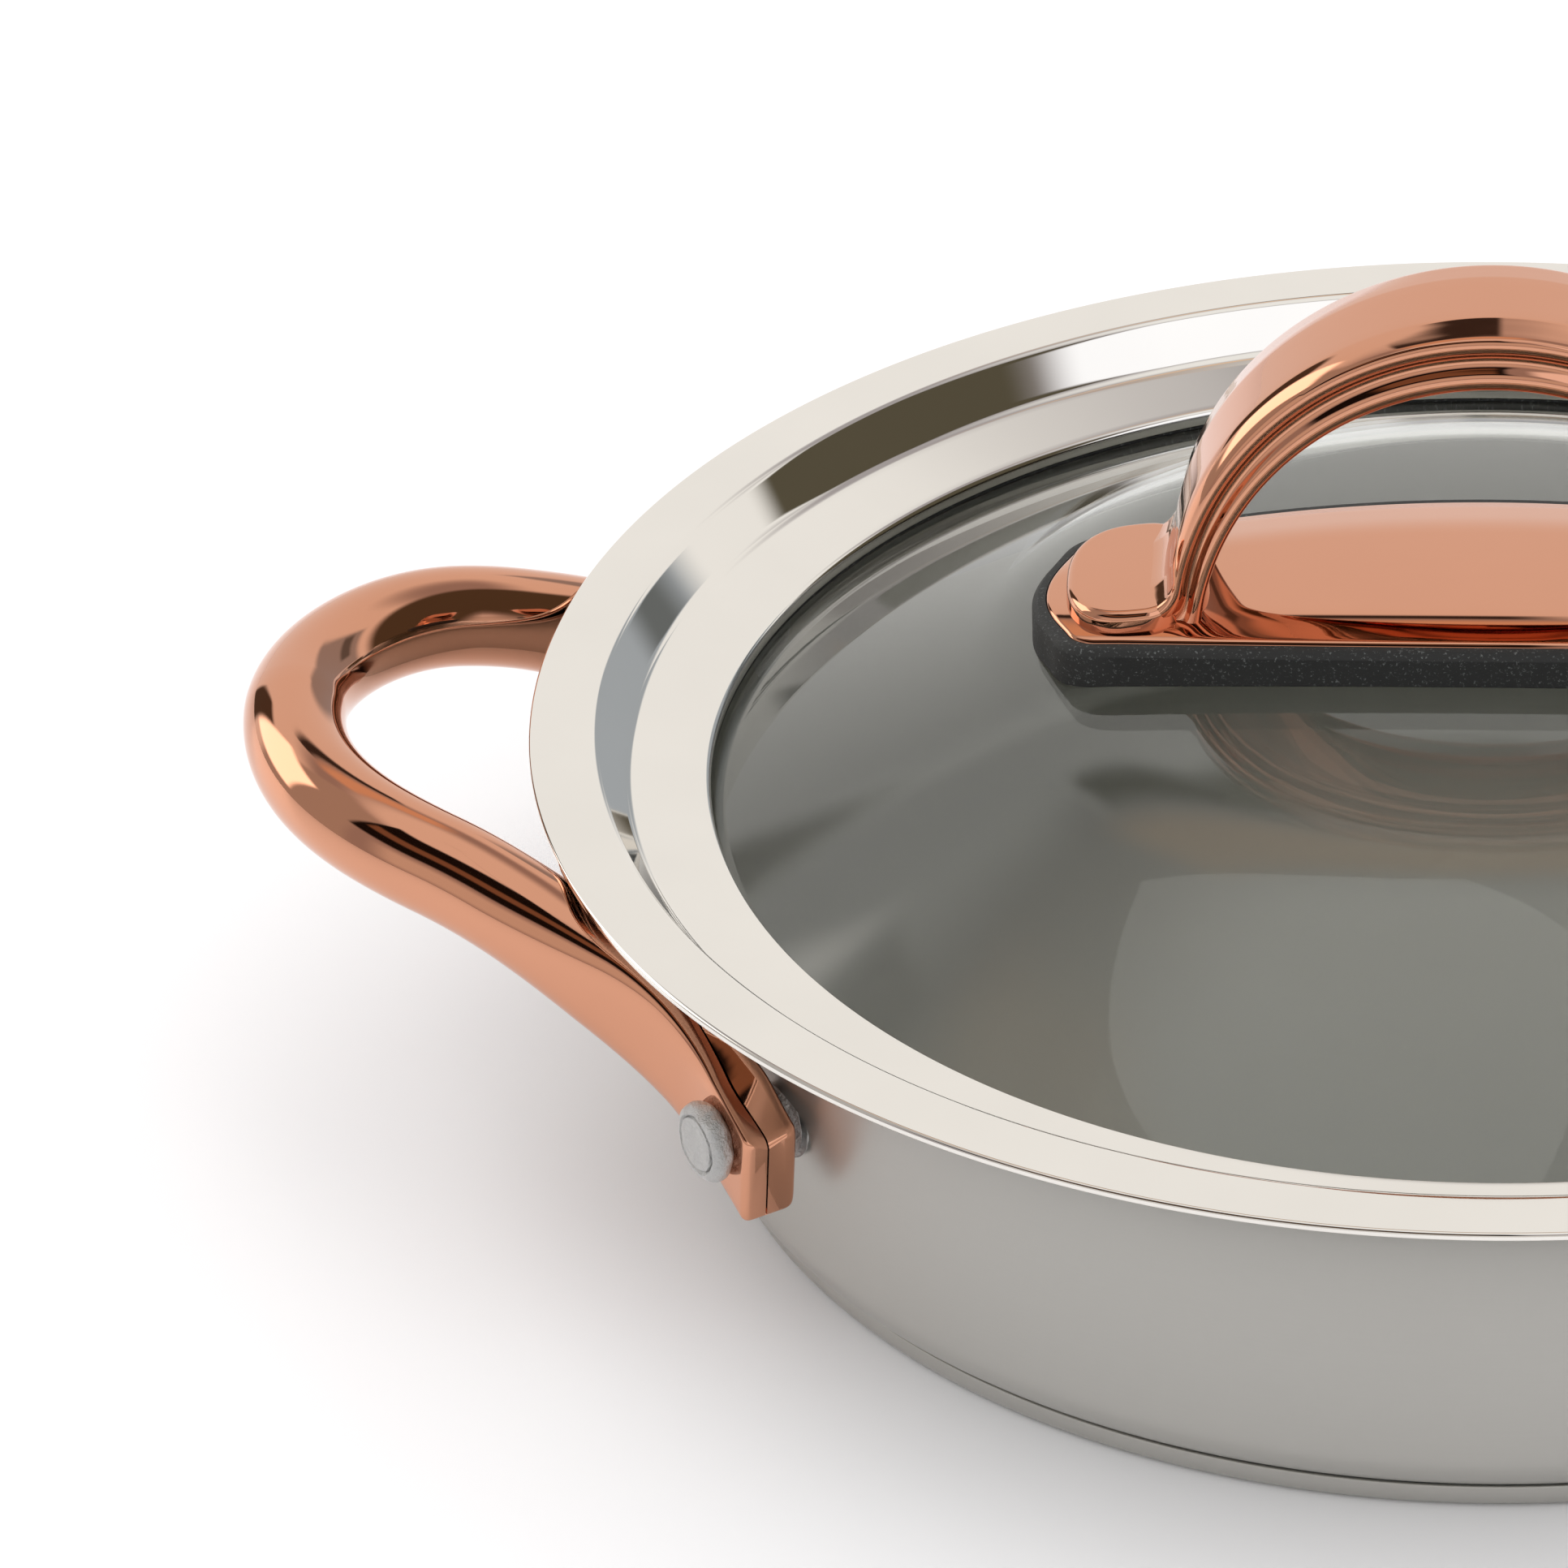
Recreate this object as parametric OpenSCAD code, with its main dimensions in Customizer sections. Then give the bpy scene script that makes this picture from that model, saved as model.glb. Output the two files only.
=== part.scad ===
// Low two-handled saucepan with a domed glass lid.
// Origin: centre of the base's underside. +Z is up, the two side handles lie along X.

/* [Pan] */
// Radius of the bonded base disc
base_r = 106.8; // [90:0.1:125]
// Height of the base disc, from its underside to the groove under the wall
base_h = 3.7; // [2.5:0.1:6]
// Radius of the wall just above its lower corner
wall_low_r = 109.9; // [94:0.1:128]
// Radius of the pouring lip's edge
lip_r = 128; // [112:0.5:146]
// Height of the pouring lip's underside at its edge
lip_z = 55.6; // [45:0.1:80]
// Thickness of the pan's sheet steel
pan_t = 0.9; // [0.6:0.1:1.5]
// Radius of the rounded corner between floor and wall
corner_r = 5.5; // [3:0.1:12]

/* [Lid] */
// Radius of the lid rim's outer edge
lid_r = 130; // [114:0.5:148]
// Height of the lid rim's flat flange
lid_z = 57.6; // [47:0.1:82]
// Radius of the window that the rim leaves round the glass
window_r = 105.6; // [90:0.1:112]
// Thickness of the rim's sheet steel
rim_t = 0.7; // [0.5:0.1:1]
// Radius of the glass dome's gently rounded middle
dome_r = 350; // [320:1:420]
// Height of the glass dome's top
dome_z = 73.5; // [72:0.1:75]
// Slope of the glass dome's straight shoulder
shoulder_slope = 26; // [25:0.5:27]
// Thickness of the glass
glass_t = 3; // [2:0.1:4]

/* [Lid handle] */
// Radius of the arch's outer line, seen from the front
arch_out_r = 43; // [38:0.1:46]
// Height of the centre of the arch's outer line
arch_out_z = 76.9; // [75:0.1:80]
// Radius of the arch's inner line
arch_in_r = 38.8; // [33:0.1:40]
// Height of the centre of the arch's inner line
arch_in_z = 72.5; // [70:0.1:74]
// Width of the arch at its crown
crown_w = 22; // [16:0.5:23]
// Width of the arch where it meets its feet
leg_w = 24; // [20:0.5:26]
// Radius of the base plate's domed top
plate_r = 425; // [380:1:600]
// Height of the base plate's top
plate_z = 78.7; // [78:0.1:80]
// Half length of the base plate
plate_half_x = 59.8; // [58:0.1:61]
// Half width of the base plate at its middle
plate_half_y = 19.8; // [18:0.1:22]
// Thickness of the base plate
plate_t = 1.5; // [1:0.1:2]

/* [Side handles] */
// Diameter of the round part of the loop
tube_d = 14; // [11:0.1:15]
// Radius of the loop's outer bend, along its centre line
loop_r = 37.3; // [34:0.1:40]
// Distance from the pan's axis to the loop's furthest centre-line point
reach = 161.7; // [158:0.1:168]
// Angle that the outer bend turns through on each side of the middle
loop_turn = 63.5; // [60:0.5:68]
// Angle between the X axis and each rivet, seen from above
rivet_angle = 31.5; // [30:0.5:33]
// Height of the rivets
rivet_z = 31.3; // [28:0.1:34]
// Width of the flattened strap where it starts
root_w = 18; // [15:0.5:19]
// Width of the ear at its end
ear_w = 12.6; // [11:0.1:15]
// Thickness of the flattened ear
ear_t = 7; // [5.5:0.1:7.5]
// Distance of the ear's middle plane from the pan's axis
ear_r = 118.5; // [117.5:0.1:119.5]
// Thickness of the handle's sheet
shell_t = 1; // [0.8:0.1:1.4]

/* [Hidden] */

$fn = 96;
fine = 240;
COPPER = [0.79, 0.56, 0.45];
STEEL = [0.66, 0.66, 0.65];
MIRROR = [0.9, 0.88, 0.84];
ALUMINIUM = [0.7, 0.71, 0.72];
BLACK = [0.17, 0.18, 0.18];
GLASS = [0.62, 0.66, 0.64, 0.35];

fit_gap = 0.05;
rivet_r = 3;
tube_r = tube_d / 2;
dome_c = dome_z - dome_r;
cap_slope = 9;
shoulder_r = 60;
plate_c = plate_z - plate_r;
glass_edge_r = window_r + 3.4;

// ---- profiles -------------------------------------------------------------

// Unit normal to the left of the way from a to b
function left_of(a, b) = let (d = b - a) [-d[1], d[0]] / norm(d);

// Corner i of a path, moved t to the left of the path but never past the axis
function moved(p, i, t) =
    let (n0 = left_of(p[max(i - 1, 0)], p[max(i, 1)]),
         n1 = left_of(p[min(i, len(p) - 2)], p[min(i + 1, len(p) - 1)]),
         m = n0 + n1,
         q = p[i] + t * 2 * m / (m * m))
    [max(q[0], 0), q[1]];

// Closed outline of a sheet of thickness t on the left of a path
function sheet(p, t) = concat(p, [for (i = [len(p) - 1:-1:0]) moved(p, i, t)]);

// Points of an arc about c, from angle a to angle b
function arc(c, r, a, b, steps) =
    [for (i = [0:steps]) let (w = a + (b - a) * i / steps) c + r * [cos(w), sin(w)]];

// Point at u on the cubic curve with corners a, b, c and d
function curve(a, b, c, d, u) =
    let (v = 1 - u) v * v * v * a + 3 * v * v * u * b + 3 * v * u * u * c + u * u * u * d;

// Outer face of the pan: floor, corner, gently widening wall and flared lip
wall_foot = [wall_low_r, base_h + corner_r];
pan_path = concat(
    [[0, base_h]],
    arc([wall_low_r - corner_r, base_h + corner_r], corner_r, -90, 0, 8),
    [for (i = [1:20])
        curve(wall_foot, [wall_low_r - 0.4, 31], [lip_r - 12.4, lip_z], [lip_r, lip_z], i / 20)]);

// Top face of the lid rim: hemmed edge, flange, step down, sloping band and turned-down lip
step_c = [lid_r - 8.4, lid_z - 1.5];
valley_c = [lid_r - 14.4, lid_z - 4.1];
lip_c = [window_r + 0.9, lid_z - 8.7];
rim_path = concat(
    [[lid_r, lid_z - 1]],
    arc([lid_r - 0.5, lid_z - 0.5], 0.5, 0, 90, 3),
    arc(step_c, 1.5, 90, 148, 4),
    arc(valley_c, 2.2, -32, -81, 4),
    arc(lip_c, 0.9, 99, 180, 4),
    [[window_r, lid_z - 9.9]]);

// Height of the underside of the rim's sloping band at distance x from the axis
band_a = valley_c + 2.2 * [cos(81), -sin(81)];
band_b = lip_c + 0.9 * [cos(99), sin(99)];
band_rise = (band_a[1] - band_b[1]) / (band_a[0] - band_b[0]);
function band_under(x) = band_b[1] + (x - band_b[0]) * band_rise - rim_t * sqrt(1 + band_rise * band_rise);

// Outer face of the glass: shallow cap, rounded shoulder, then a straight slope.
// over(x) is the slope's outer face at distance x from the axis, under(x, drop) lies below its inner face.
cap_edge = [dome_r * sin(cap_slope), dome_c + dome_r * cos(cap_slope)];
shoulder_c = cap_edge - shoulder_r * [sin(cap_slope), cos(cap_slope)];
slope_top = shoulder_c + shoulder_r * [sin(shoulder_slope), cos(shoulder_slope)];
function over(x) = [x, slope_top[1] - (x - slope_top[0]) * tan(shoulder_slope)];
function under(x, drop) = over(x) - [0, glass_t / cos(shoulder_slope) + drop];
dome_path = concat(
    [over(glass_edge_r)],
    arc(shoulder_c, shoulder_r, 90 - shoulder_slope, 90 - cap_slope, 8),
    arc([0, dome_c], dome_r, 90 - cap_slope * 7 / 8, 90, 7));

// ---- pan ------------------------------------------------------------------

// Outer surface of the pan, filled
module pan_plug() {
    rotate_extrude($fn = fine) polygon(concat(pan_path, [[0, lip_z]]));
}

module base_cap() {
    color(STEEL) rotate_extrude($fn = fine)
        polygon(sheet(concat([[0, 0]], arc([base_r - 2.4, 2.4], 2.4, -90, 0, 6), [[base_r, base_h]]), 0.6));
}

module base_core() {
    color(ALUMINIUM) rotate_extrude($fn = fine)
        polygon(concat(
            [[0, 0.6]],
            arc([base_r - 2.45, 2.4], 1.75, -90, 0, 6),
            [[base_r - 0.7, base_h], [0, base_h]]));
}

module pan_body() {
    color(STEEL) difference() {
        rotate_extrude($fn = fine) polygon(sheet(pan_path, pan_t));
        for (side = ["left", "right"], way = [-1, 1])
            on_side(side) at_rivet(way) cylinder(r = rivet_r + fit_gap, h = 30, center = true);
    }
}

// ---- side handles ---------------------------------------------------------

// The centre line, seen from above, is an outer bend, a straight leg, a bend the other way
// and a straight ear that lies along the wall. The leg and the second bend are solved for.
ear_way = 90 + rivet_angle;
leg_way = 90 + loop_turn;
ear_lead = 4;
ear_end = 7;
bend_c = [reach - loop_r, 0];
leg_start = bend_c + loop_r * [cos(loop_turn), sin(loop_turn)];
rivet_p = ear_r * [cos(rivet_angle), sin(rivet_angle)];
leg_gap = rivet_p - ear_lead * [cos(ear_way), sin(ear_way)] - leg_start;
back_bend = [sin(leg_way) - sin(ear_way), cos(ear_way) - cos(leg_way)];
solve_d = cos(leg_way) * back_bend[1] - sin(leg_way) * back_bend[0];
leg_l = (leg_gap[0] * back_bend[1] - leg_gap[1] * back_bend[0]) / solve_d;
back_r = (cos(leg_way) * leg_gap[1] - sin(leg_way) * leg_gap[0]) / solve_d;
len_1 = loop_r * loop_turn * PI / 180;
len_2 = len_1 + leg_l;
len_3 = len_2 + back_r * (leg_way - ear_way) * PI / 180;
rivet_s = len_3 + ear_lead;
path_len = rivet_s + ear_end;

// Heading of the centre line at length s from the middle of the loop
function way(s) =
    s < len_1 ? 90 + s / loop_r * 180 / PI :
    s < len_2 ? leg_way :
    s < len_3 ? leg_way - (s - len_2) / back_r * 180 / PI : ear_way;

// Place of the centre line at length s, seen from above
function plan(s) =
    s < len_1 ? bend_c + loop_r * [cos(way(s) - 90), sin(way(s) - 90)] :
    s < len_2 ? leg_start + (s - len_1) * [cos(leg_way), sin(leg_way)] :
    s < len_3 ? plan(len_2 - 0.001) + back_r * [sin(leg_way) - sin(way(s)), cos(way(s)) - cos(leg_way)] :
    rivet_p + (s - rivet_s) * [cos(ear_way), sin(ear_way)];

// The loop falls gently at first, then steeply along its legs
gentle = 0.055;
steep = 0.556;
knee_s = 45.2;
knee_l = 7.5;
function fall(s) = gentle * s + (steep - gentle) * knee_l * ln(1 + exp((s - knee_s) / knee_l));
function slope(s) = gentle + (steep - gentle) / (1 + exp((knee_s - s) / knee_l));
function height(s) = rivet_z + fall(rivet_s) - fall(s);

// Smooth step from 0 at a to 1 at b
function ease(a, b, x) = let (u = min(1, max(0, (x - a) / (b - a)))) u * u * (3 - 2 * u);

// How flat the section is at length s: 0 is the round tube, 1 the ear
function flat(s) = ease(len_1 + 8, len_3 + 4, s);

// Half the section's width at length s: the flattened strap is wide, and tapers to the ear
function half_width(s) = tube_r + (root_w / 2 - tube_r) * flat(s)
    - (root_w - ear_w) / 2 * ease(len_2, path_len, s);

// Depth of the V-shaped valley along the top of the ear
function valley(s) = 2.6 * ease(len_1 + 14, len_3 + 2, s) - 1.6 * ease(rivet_s - 5, path_len, s);

// Point at angle w on the section's rim, shrunk by t, with the valley pressed in at the top
function rim_point(s, w, t) =
    let (f = flat(s),
         half_x = tube_r + (ear_t / 2 - tube_r) * f - t,
         half_y = half_width(s) - t,
         e = 1 - 0.62 * f - 0.16 * ease(len_3 - 6, rivet_s, s),
         x = half_x * pow(max(cos(w), 0), e),
         y = half_y * sign(sin(w)) * pow(abs(sin(w)), e),
         dip = w > 45 ? valley(s) * pow(1 - x / half_x, 1.5) : 0)
    [x, y - dip];

// One half of the tube's wall as a closed outline: the outer face down, the inner face up
half_steps = 9;
function half_outline(s, closed) = concat(
    [for (i = [0:half_steps]) rim_point(s, 90 - 180 * i / half_steps, 0)],
    [for (i = [half_steps:-1:0])
        let (q = rim_point(s, 90 - 180 * i / half_steps, shell_t)) closed ? [0, q[1]] : q]);

// Section point q in the pan's frame, on the outer (1) or inner (-1) side of the centre line.
// A negative length is the rear half of the loop. The sections lean upright near the ear's end.
function placed(s, q, side) =
    let (l = abs(s), a = way(l),
         t = [cos(a), sin(a), -slope(l)] / sqrt(1 + slope(l) * slope(l)),
         n = [sin(a), -cos(a), 0],
         b = cross(n, t),
         lean = end_lean * ease(rivet_s - 6, path_len, l),
         p = [plan(l)[0], plan(l)[1], height(l)] + side * q[0] * n + q[1] * (b - lean * t))
    [p[0], s < 0 ? -p[1] : p[1], p[2]];

end_lean = 0.42;
end_wall = 1.2;
to_ear = concat(
    [for (s = [5:6:len_1 - 1]) s],
    [for (s = [len_1:4:path_len - 4]) s],
    [path_len - end_wall - 1.2, path_len - end_wall, path_len - end_wall + 0.05, path_len - 0.4, path_len]);
stations = concat([for (i = [len(to_ear) - 1:-1:0]) -to_ear[i]], [0], to_ear);

// One pressed half of the hollow loop, closed at both ears and pierced for its rivets
module handle_shell(side) {
    n = 2 * (half_steps + 1);
    m = len(stations);
    points = [for (s = stations)
        let (closed = abs(s) > path_len - end_wall, tip = abs(s) > path_len - 0.1 ? 0.92 : 1)
        for (q = half_outline(abs(s), closed)) placed(s, q * tip, side)];
    skin = [for (i = [0:m - 2], j = [0:n - 1])
        let (a = i * n + j, b = i * n + (j + 1) % n) [a, b, b + n, a + n]];
    ends = [[for (j = [n - 1:-1:0]) j], [for (j = [0:n - 1]) (m - 1) * n + j]];
    faces = concat(skin, ends);
    color(COPPER) difference() {
        polyhedron(points, side < 0 ? faces : [for (f = faces) [for (k = [len(f) - 1:-1:0]) f[k]]]);
        for (way = [-1, 1])
            at_rivet(way) cylinder(r = rivet_r + fit_gap, h = 30, center = true);
    }
}

// Moves a shape made along Z, up from the ear's middle plane, to a right-hand rivet
module at_rivet(way) {
    rotate(way * rivet_angle) translate([ear_r, 0, rivet_z]) rotate([0, 90, 0]) children();
}

// Right-hand parts are turned half round for the left handle
module on_side(side) {
    rotate(side == "left" ? 180 : 0) children();
}

// Radius of the wall's outer face at the height of the rivets
rivet_wall_r = 112.4;
seat_gap = 0.12;
rivet_out = ear_t / 2 + seat_gap;
head_r = 5.4;
head_h = 3.1;
inner_r = 6;
inner_z = rivet_wall_r - pan_t - ear_r;

// Everything outside the pan's inner face
module outside_wall() {
    inner = [for (i = [8:len(pan_path) - 1]) moved(pan_path, i, pan_t)];
    rotate_extrude($fn = fine) polygon(concat(inner, [[150, lip_z], [150, inner[0][1]]]));
}

// Solid rivet: stepped flat head outside the ear, shank, and low dome against the inner face
module rivet(side, way) {
    color(ALUMINIUM) on_side(side) {
        at_rivet(way) rotate_extrude() polygon(concat(
            [[0, inner_z - 1.5], [rivet_r, inner_z - 1.5], [rivet_r, rivet_out], [head_r - 1, rivet_out]],
            arc([head_r - 1.5, rivet_out + 1.5], 1.5, -50, 75, 7),
            [[3.7, rivet_out + head_h - 0.5], [3.5, rivet_out + head_h], [0, rivet_out + head_h]]));
        difference() {
            at_rivet(way) rotate_extrude() polygon(concat(
                arc([0, inner_z + 7], 9, -90, -90 + asin(inner_r / 9), 6),
                [[inner_r, inner_z + 2], [0, inner_z + 2]]));
            outside_wall();
        }
    }
}

// Trumpet-shaped spacer between the wall and the ear
module spacer(side, way) {
    foot = rivet_wall_r - ear_r - 2;
    tip = -ear_t / 2 - seat_gap;
    color(ALUMINIUM) on_side(side) difference() {
        at_rivet(way) rotate_extrude() polygon(concat(
            [[rivet_r + fit_gap, foot], [5.8, foot]],
            [for (i = [0:6])
                curve([5.8, foot + 2.1], [4.6, foot + 2.4], [4.3, tip - 1.5], [4.3, tip], i / 6)],
            [[rivet_r + fit_gap, tip]]));
        pan_plug();
    }
}

// ---- lid ------------------------------------------------------------------

module lid_rim() {
    color(MIRROR) rotate_extrude($fn = fine) polygon(sheet(rim_path, rim_t));
}

hold_x = window_r + 1;
seal_t = 0.6;
seal_low_z = lid_z - 9.95;
ring_t = 0.6;

module lid_glass() {
    color(GLASS) difference() {
        rotate_extrude($fn = fine) polygon(sheet(dome_path, glass_t));
        on_lid() screw_holes(dome_r - glass_t - 2, glass_t + 4, hole_r);
    }
}

// Soft U-section ring round the edge of the glass
module glass_seal() {
    color(BLACK) rotate_extrude($fn = fine) polygon([
        over(window_r + 0.1), over(glass_edge_r), under(glass_edge_r, 0), under(hold_x, 0),
        under(hold_x, seal_t), under(glass_edge_r + seal_t, seal_t),
        [glass_edge_r + seal_t, band_under(glass_edge_r + seal_t)], [hold_x, band_under(hold_x)],
        [hold_x, seal_low_z], [window_r + 0.1, seal_low_z]]);
}

// Rolled ring under the rim that presses the glass and its seal up against the band
module lid_clamp_ring() {
    gap = seal_t + 0.03;
    x = glass_edge_r + gap;
    color(MIRROR) rotate_extrude($fn = fine) polygon(sheet([
        under(hold_x, gap), under(x, gap), [x, band_under(x) - 0.5],
        [x + 0.5, band_under(x + 0.5)], [glass_edge_r + 4.4, band_under(glass_edge_r + 4.4)]], -ring_t));
}

// ---- lid handle -----------------------------------------------------------

glass_in_r = dome_r - glass_t;
screw_tilt = 7.6;
screw_r = 2.5;
hole_r = 4;
grommet_t = 1;
cup_t = 1.4;
pad_t = 2.8;
pad_mid_x = 47.5;
pad_half = [9.5, 12.8];
lid_turn = -3;
gasket_wall = 1.9;
gasket_low = 0.3;
screw_gap = 0.1;

// Turns what stands on the glass to where the lid handle points
module on_lid() {
    rotate(lid_turn) children();
}

// Moves a shape made along Z from the dome's centre to the left (-1) or right (1) screw
module on_dome(side) {
    translate([0, 0, dome_c]) rotate([0, side * screw_tilt, 0]) children();
}

// Ball whose top is the base plate's top, changed by t
module plate_ball(t) {
    translate([0, 0, plate_c]) sphere(r = plate_r + t, $fn = 360);
}

// Upright block with the given outline, from below the glass to above the foot pads
module block(outline) {
    translate([0, 0, 50]) linear_extrude(45) polygon(outline);
}

// Barrel outline of half length a and half width b, with bowed sides and ends and rounded corners
bow_r = 247;
end_bow = 3;
corner_in = 5;
corner_out = 6.5;
function barrel(a, b, corner) =
    let (c_x = a - end_bow - corner,
         c = [c_x, b - bow_r + sqrt(bow_r * bow_r - c_x * c_x) - corner],
         quarter = concat(
            [for (i = [0:5]) let (x = c[0] * i / 6) [x, b - bow_r + sqrt(bow_r * bow_r - x * x)]],
            arc(c, corner, 78, 18, 4),
            [for (i = [3:-1:0]) let (y = c[1] * i / 4) [a - end_bow * pow(y / c[1], 2) * 0.85, y]]),
         n = len(quarter) - 1)
    concat(quarter,
        [for (i = [n - 1:-1:0]) [quarter[i][0], -quarter[i][1]]],
        [for (i = [1:n]) -quarter[i]],
        [for (i = [n - 1:-1:1]) [-quarter[i][0], quarter[i][1]]]);

module lid_gasket() {
    color(BLACK) difference() {
        intersection() {
            block(barrel(plate_half_x + gasket_wall, plate_half_y + gasket_wall, corner_out));
            plate_ball(-gasket_low);
        }
        rotate_extrude($fn = fine) polygon(concat(dome_path, [[0, 0], [glass_edge_r, 0]]));
        difference() {
            block(barrel(plate_half_x + fit_gap, plate_half_y + fit_gap, corner_in));
            plate_ball(-plate_t);
        }
        screw_holes(dome_r - glass_t, 20, screw_r + screw_gap);
    }
}

// Holes of radius r along both screws, from distance a to a + l from the dome's centre
module screw_holes(a, l, r) {
    for (side = [-1, 1]) on_dome(side) translate([0, 0, a]) cylinder(r = r, h = l);
}

module lid_handle_plate() {
    color(COPPER) difference() {
        intersection() {
            block(barrel(plate_half_x, plate_half_y, corner_in));
            plate_ball(0);
        }
        plate_ball(-plate_t);
        screw_holes(dome_r, 20, screw_r + screw_gap);
    }
}

// Where the arch's outer and inner lines stand at angle w, with a fillet out to the foot
foot_fillet = 4.5;
foot_top = 78.6;
function flare(z) = let (h = z - foot_top)
    h > foot_fillet ? 0 :
    foot_fillet - sqrt(max(0, foot_fillet * foot_fillet - pow(foot_fillet - max(h, 0), 2)));
function outer_line(w) = let (z = arch_out_z + arch_out_r * sin(w))
    [arch_out_r * cos(w) + sign(cos(w)) * flare(z), z];
function inner_line(w) = [arch_in_r * cos(w), arch_in_z + arch_in_r * sin(w)];

// Half section of the arch: u runs out to the side, v down from the outer to the inner line.
// Crowned top, rounded side, bead, cove, band, thin lip and a hollow underside.
arch_half = [
    [0.2, 0], [0.48, 0], [0.56, 0.01], [0.95, 0.085], [0.99, 0.12], [1, 0.2],
    [0.99, 0.31], [0.96, 0.35], [0.9, 0.42], [0.87, 0.52], [0.9, 0.62], [0.95, 0.68],
    [0.97, 0.72], [0.98, 0.84], [0.96, 0.93], [0.9, 1], [0.82, 0.97], [0.5, 0.78], [0.2, 0.74]];

// Point j of the arch's section at angle w
function arch_point(w, q) =
    let (a = outer_line(w), b = inner_line(w),
         half_w = (crown_w + (leg_w - crown_w) * pow(abs(cos(w)), 4)) / 2,
         p = a + (b - a) * q[1])
    [p[0], q[0] * half_w, p[1]];

// Tongue-shaped outline of a foot pad, a little narrower where it meets its leg
function pad_outline(side) = [for (w = [0:12:348])
    let (half_y = pad_half[1] * (1 - 0.09 * ease(0.1, 0.7, -cos(w))))
    [side * pad_half[0] * sign(cos(w)) * pow(abs(cos(w)), 0.8),
     half_y * sign(sin(w)) * pow(abs(sin(w)), 0.8)]];

arch_steps = 36;
arch_end = 6;
module arch() {
    section = concat(arch_half, [for (i = [len(arch_half) - 1:-1:0]) [-arch_half[i][0], arch_half[i][1]]]);
    n = len(section);
    turn = 180 + 2 * arch_end;
    points = [for (i = [0:arch_steps]) for (q = section) arch_point(turn * i / arch_steps - arch_end, q)];
    skin = [for (i = [0:arch_steps - 1], j = [0:n - 1])
        let (a = i * n + j, b = i * n + (j + 1) % n) [a, a + n, b + n, b]];
    polyhedron(points, concat(skin,
        [[for (j = [0:n - 1]) j]], [[for (j = [n - 1:-1:0]) arch_steps * n + j]]));
}

// Grab arch with a foot pad on each leg, threaded from below for its screws
module lid_handle() {
    color(COPPER) difference() {
        union() {
            arch();
            for (side = [-1, 1]) intersection() {
                translate([side * pad_mid_x, 0, 0]) block(pad_outline(side));
                plate_ball(pad_t);
            }
        }
        plate_ball(0);
        screw_holes(dome_r, 7.9, screw_r);
    }
}

module lid_screw(side) {
    head_z = glass_in_r - grommet_t - cup_t;
    color(STEEL) on_dome(side) difference() {
        union() {
            translate([0, 0, head_z - 3]) cylinder(r1 = 3.8, r2 = 4.6, h = 3);
            translate([0, 0, head_z - 1]) cylinder(r = screw_r, h = 14);
        }
        translate([0, 0, head_z - 4]) cylinder(r = 1.8, h = 2.8, $fn = 6);
    }
}

// Soft sleeve in the hole of the glass, with a flange under it
module lid_grommet(side) {
    color(BLACK) on_dome(side) translate([0, 0, glass_in_r]) difference() {
        union() {
            translate([0, 0, -grommet_t]) cylinder(r = 7, h = grommet_t - 0.12);
            translate([0, 0, -grommet_t]) cylinder(r = hole_r - fit_gap, h = grommet_t + glass_t - 0.1);
        }
        translate([0, 0, -2]) cylinder(r = screw_r + screw_gap, h = 8);
    }
}

// Dished steel washer that takes the screw's head
module cup_washer(side) {
    color(MIRROR) on_dome(side) translate([0, 0, glass_in_r - grommet_t]) rotate_extrude()
        polygon([
            [screw_r + screw_gap, -cup_t], [4.8, -cup_t], [6.6, -0.6], [6.6, 0],
            [screw_r + screw_gap, 0]]);
}

base_cap();
base_core();
pan_body();
on_side("left") handle_shell(1);  // left_handle_outer_shell
on_side("left") handle_shell(-1);  // left_handle_inner_shell
handle_shell(1);  // right_handle_outer_shell
handle_shell(-1);  // right_handle_inner_shell
rivet("left", 1);  // left_front_rivet
rivet("left", -1);  // left_rear_rivet
rivet("right", -1);  // right_front_rivet
rivet("right", 1);  // right_rear_rivet
spacer("left", 1);  // left_front_spacer
spacer("left", -1);  // left_rear_spacer
spacer("right", -1);  // right_front_spacer
spacer("right", 1);  // right_rear_spacer
lid_rim();
lid_clamp_ring();
glass_seal();
lid_glass();
on_lid() lid_gasket();
on_lid() lid_handle_plate();
on_lid() lid_handle();
on_lid() lid_screw(-1);  // left_lid_screw
on_lid() lid_screw(1);  // right_lid_screw
on_lid() lid_grommet(-1);  // left_lid_grommet
on_lid() lid_grommet(1);  // right_lid_grommet
on_lid() cup_washer(-1);  // left_cup_washer
on_lid() cup_washer(1);  // right_cup_washer
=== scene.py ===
# %% [markdown]
# # A low saucepan with a domed glass lid
# The CAD model gives every piece its size and its place. This file gives it its looks: each
# solid that shows is built again as a finer mesh from the same profile, and gets a finish.
# Lengths are written in millimetres, as in a workshop drawing, and turned to metres by MM.

# %% Load the frame
import math

import bmesh
import bpy
import numpy as np
from mathutils import Matrix, Vector


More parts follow.
